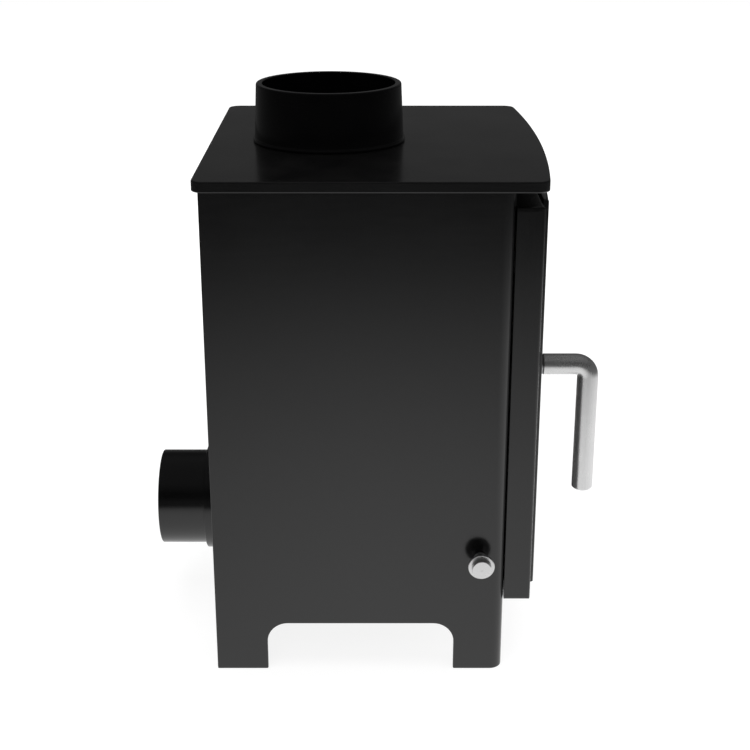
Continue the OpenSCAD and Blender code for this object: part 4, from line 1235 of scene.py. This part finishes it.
class STOVE_OT_air_path(bpy.types.Operator):
    """Softens the plates inside the casing that lead the air and carry the grate."""

    bl_idname = "stove.air_path"
    bl_label = "Inner plates"

    def execute(self, context):
        for node in ("base_plate", "ash_floor", "port_plate", "inlet_box", "air_risers",
                     "airwash_channel", "grate_ledges", "slide_guides"):
            soften(node, "inner_steel", edge=0.4 * MM)
        return {"FINISHED"}


def socket_screw(centre, radius, flat, end, axis, tip, shank):
    """A round-headed screw with a six-sided socket.

    Rings run from the tip up the shank, over the head's rounded edge to the rim of the socket;
    there the circle gives way to a hexagon, which goes down to the socket's floor. Its radius is
    the cosine of 30 degrees over the cosine of the angle from the middle of the nearest side.
    """
    way = math.copysign(1.0, end - flat)
    unit = unit_circle(36)
    angle = np.arctan2(unit[:, 1], unit[:, 0])
    six = np.cos(np.pi / 6) / np.cos((angle + np.pi / 6) % (np.pi / 3) - np.pi / 6)
    hexagon = unit * six[:, None]
    height = abs(end - flat)
    round_off = 0.25 * height
    t = np.linspace(0, np.pi / 2, 5)
    radii = np.concatenate([[shank * 0.8, shank, shank, radius - HOLD, radius],
                            radius - round_off * (1 - np.cos(t[1:])), [radius * 0.6]])
    depth = np.concatenate([[tip, tip + way * shank * 0.2, flat, flat, flat + way * HOLD],
                            end - way * round_off * (1 - np.sin(t[1:])), [end]])
    hex_radii = np.array([0.52, 0.49, 0.49, 0.44]) * radius
    hex_depth = end - way * height * np.array([0.0, 0.06, 0.55, 0.62])
    flat_rings = np.concatenate([radii[:, None, None] * unit, hex_radii[:, None, None] * hexagon])
    depths = np.concatenate([depth, hex_depth])[:, None]
    return skin(lay(flat_rings + np.delete(centre, axis), depths, axis))


class STOVE_OT_screws(bpy.types.Operator):
    """Makes the screws of the panel, the glass clips and the latch keeper."""

    bl_idname = "stove.screws"
    bl_label = "Screws"

    def execute(self, context):
        sunk_head, full_head = 2.7 * MM, 3 * MM
        ends, ends_and_middle, middle_only = (0, 1), (0, 0.5, 1), (0.5,)
        self.screw_set("panel_screws", "door", sunk_head, ends, ends_and_middle)
        self.screw_set("clip_screws", "door", full_head, ends, ends)
        self.screw_set("keeper_screws", "body", full_head, middle_only, ends)
        return {"FINISHED"}

    def screw_set(self, node, body, head_height, columns, rows):
        """One node's screws, at shares of the way between the middles of its outer heads."""
        shank, head = 2.5 * MM, 4.5 * MM
        lo, hi = BOX[node]
        first, last = lo + head, hi - head
        shells = [socket_screw(first + (last - first) * (column, 0, row), head,
                               hi[Y] - head_height, hi[Y], Y, lo[Y], shank)
                  for column in columns for row in rows]
        build(node + "_plated", shells, body, "fastener", node)


class STOVE_OT_stage(bpy.types.Operator):
    """Sets up the pale floor, the plain studio light, the backdrop and the camera."""

    bl_idname = "stove.stage"
    bl_label = "Stage"

    # Soft lamps: name, place, point that it faces, width, and share of the top lamp's power
    LAMPS = (("top_lamp", (0.0, 0.0, 2.4), (0, 0, 0.25), 2.6, 1.0),
             ("front_lamp", (0.3, -2.4, 1.1), (0, 0, 0.3), 1.8, 0.55),
             ("left_lamp", (-2.3, 0.5, 1.5), (0, 0, 0.3), 1.8, 0.30),
             ("right_lamp", (2.2, 0.4, 1.3), (0, 0, 0.3), 1.8, 0.45))
    FLOOR_RADIUS = 6.0
    # The camera's white beside the stove, and the distances between which it rises to full white
    SHADED_WHITE, SHADOW_NEAR, SHADOW_FAR = 0.86, 0.6, 1.2
    # How much light the floor shows the camera beside its own white, and so how deep the shadow
    SHADOW_DEPTH = 0.25
    # Light that matt surfaces take from the surroundings
    PLAIN_LIGHT = 0.30
    # How much of its light the floor loses far behind the stove and gains far in front of it
    REAR_SHARE, REAR_REACH = 0.45, 1.2
    FRONT_SHARE, FRONT_NEAR, FRONT_FAR = 1.6, -0.3, -1.1

    def execute(self, context):
        scene, studio = context.scene, context.scene.stove_studio
        scene.view_settings.view_transform = "Standard"
        self.floor(scene, studio)
        self.world(scene, studio)
        for name, place, target, size, share in self.LAMPS:
            lamp = bpy.data.lights.new(name, "AREA")
            lamp.shape, lamp.size, lamp.energy = "SQUARE", size, share * studio.lamp_power
            holder = bpy.data.objects.new(name, lamp)
            scene.collection.objects.link(holder)
            holder.location = place
            aim = Vector(target) - Vector(place)
            holder.rotation_euler = aim.to_track_quat("-Z", "Y").to_euler()
            holder.visible_glossy = False
            holder.visible_camera = False
        camera = bpy.data.objects.new("camera", bpy.data.cameras.new("camera"))
        scene.collection.objects.link(camera)
        camera.location = studio.camera_place
        camera.data.sensor_width = 36.0
        camera.data.lens = studio.camera_lens
        camera.data.clip_start = 0.01
        camera.rotation_euler = (math.pi / 2 - studio.camera_pitch, 0, -math.pi / 2)
        scene.camera = camera
        return {"FINISHED"}

    def floor(self, scene, studio):
        """A round pale floor, white with a faint shadow, that fades out in reflections."""
        points = self.FLOOR_RADIUS * unit_circle(96)
        mesh = bpy.data.meshes.new("floor")
        mesh.from_pydata(lay(points, 0.0, Z), [], [list(range(len(points)))])
        material = bpy.data.materials.new("Pale floor")
        n = empty_tree(material)
        place = n.add("TexCoord").outputs["Object"]
        distance = n.add("VectorMath", {0: place}, operation="LENGTH").outputs["Value"]
        ramp = n.span(distance, 0.0, studio.floor_reach, 1.0, 0.0,
                      interpolation_type="SMOOTHSTEP")
        depth = n.part(place, "Y")
        behind = n.span(depth, 0.0, self.REAR_REACH, 1.0, self.REAR_SHARE)
        ahead = n.span(depth, self.FRONT_FAR, self.FRONT_NEAR, self.FRONT_SHARE, 1.0)
        graded = n.times(ramp, n.times(behind, ahead))
        path = n.add("LightPath").outputs
        seen = n.larger(path["Is Camera Ray"], path["Is Transmission Ray"])
        # Beside the stove the camera's white leaves room for the light that the shadow takes away
        shade = n.span(distance, self.SHADOW_NEAR, self.SHADOW_FAR, self.SHADED_WHITE, 1.0)
        mirrored = n.larger(graded, studio.far_floor)
        glow = n.larger(n.times(seen, shade), n.times(path["Is Glossy Ray"], mirrored))
        emission = n.add("Emission", {"Color": (1, 1, 1, 1), "Strength": glow})
        shaded = n.times(path["Is Camera Ray"], self.SHADOW_DEPTH)
        shadow = n.add("BsdfDiffuse", {"Color": shaded})
        lit = n.add("AddShader", {0: emission.outputs[0], 1: shadow.outputs[0]})
        matt = n.add("BsdfDiffuse", {"Color": (0.8, 0.8, 0.8, 1)})
        mixed = n.add("MixShader", {0: path["Is Diffuse Ray"], 1: lit.outputs[0],
                                    2: matt.outputs[0]})
        n.add("OutputMaterial", {"Surface": mixed.outputs[0]})
        mesh.materials.append(material)
        floor = bpy.data.objects.new("floor", mesh)
        scene.collection.objects.link(floor)

    def world(self, scene, studio):
        """White to the camera and through glass, dim to reflections, plain to matt surfaces."""
        world = bpy.data.worlds.new("Studio")
        scene.world = world
        n = empty_tree(world)
        path = n.add("LightPath").outputs
        seen = n.larger(path["Is Camera Ray"], path["Is Transmission Ray"])
        up = n.part(n.add("TexCoord").outputs["Generated"], "Z")
        # A band over the horizon, dimmer above, and paler again overhead
        band = n.math("MINIMUM", n.span(up, -0.02, 0.10, 0.0, studio.ceiling),
                      n.span(up, 0.15, 0.32, studio.ceiling, 0.35 * studio.ceiling))
        dim = n.plus(band, n.span(up, 0.50, 0.80, 0.0, 0.6 * studio.ceiling))
        glow = n.larger(seen, n.times(path["Is Glossy Ray"], dim))
        others = n.times(path["Is Diffuse Ray"], self.PLAIN_LIGHT)
        background = n.add("Background", {"Color": (1, 1, 1, 1),
                                          "Strength": n.larger(glow, others)})
        n.add("OutputWorld", {"Surface": background.outputs[0]})


OPERATORS = (
    STOVE_OT_stage, STOVE_OT_finishes, STOVE_OT_top_plate, STOVE_OT_side_plates,
    STOVE_OT_casing, STOVE_OT_collar, STOVE_OT_air_inlet, STOVE_OT_hinge, STOVE_OT_door,
    STOVE_OT_window, STOVE_OT_rope, STOVE_OT_handle, STOVE_OT_riddling, STOVE_OT_air_control,
    STOVE_OT_firebox, STOVE_OT_ash_pan, STOVE_OT_air_path, STOVE_OT_screws,
)


class STOVE_PT_panel(bpy.types.Panel):
    """Lists the stove's sizes, finishes and pieces in the sidebar."""

    bl_idname = "STOVE_PT_panel"
    bl_label = "Stove"
    bl_space_type = "VIEW_3D"
    bl_region_type = "UI"
    bl_category = "Stove"

    def draw(self, context):
        for group in (context.scene.stove_shape, context.scene.stove_finish,
                      context.scene.stove_studio):
            box = self.layout.box()
            for name in group.__annotations__:
                box.prop(group, name)
        for operator in OPERATORS:
            self.layout.operator(operator.bl_idname)


GROUP_TYPES = {"stove_shape": StoveShape, "stove_finish": StoveFinish,
               "stove_studio": StoveStudio}


def register():
    """Registers the classes, and hangs the property groups on the scene."""
    for name, kind in GROUP_TYPES.items():
        bpy.utils.register_class(kind)
        setattr(bpy.types.Scene, name, PointerProperty(type=kind))
    for kind in (*OPERATORS, STOVE_PT_panel):
        bpy.utils.register_class(kind)


def unregister():
    """Takes back what register did."""
    for kind in (*OPERATORS, STOVE_PT_panel):
        bpy.utils.unregister_class(kind)
    for name, kind in GROUP_TYPES.items():
        delattr(bpy.types.Scene, name)
        bpy.utils.unregister_class(kind)


def main():
    """Builds every piece in order."""
    register()
    for operator in OPERATORS:
        getattr(bpy.ops.stove, operator.bl_idname.split(".")[1])()


if __name__ == "__main__":
    main()
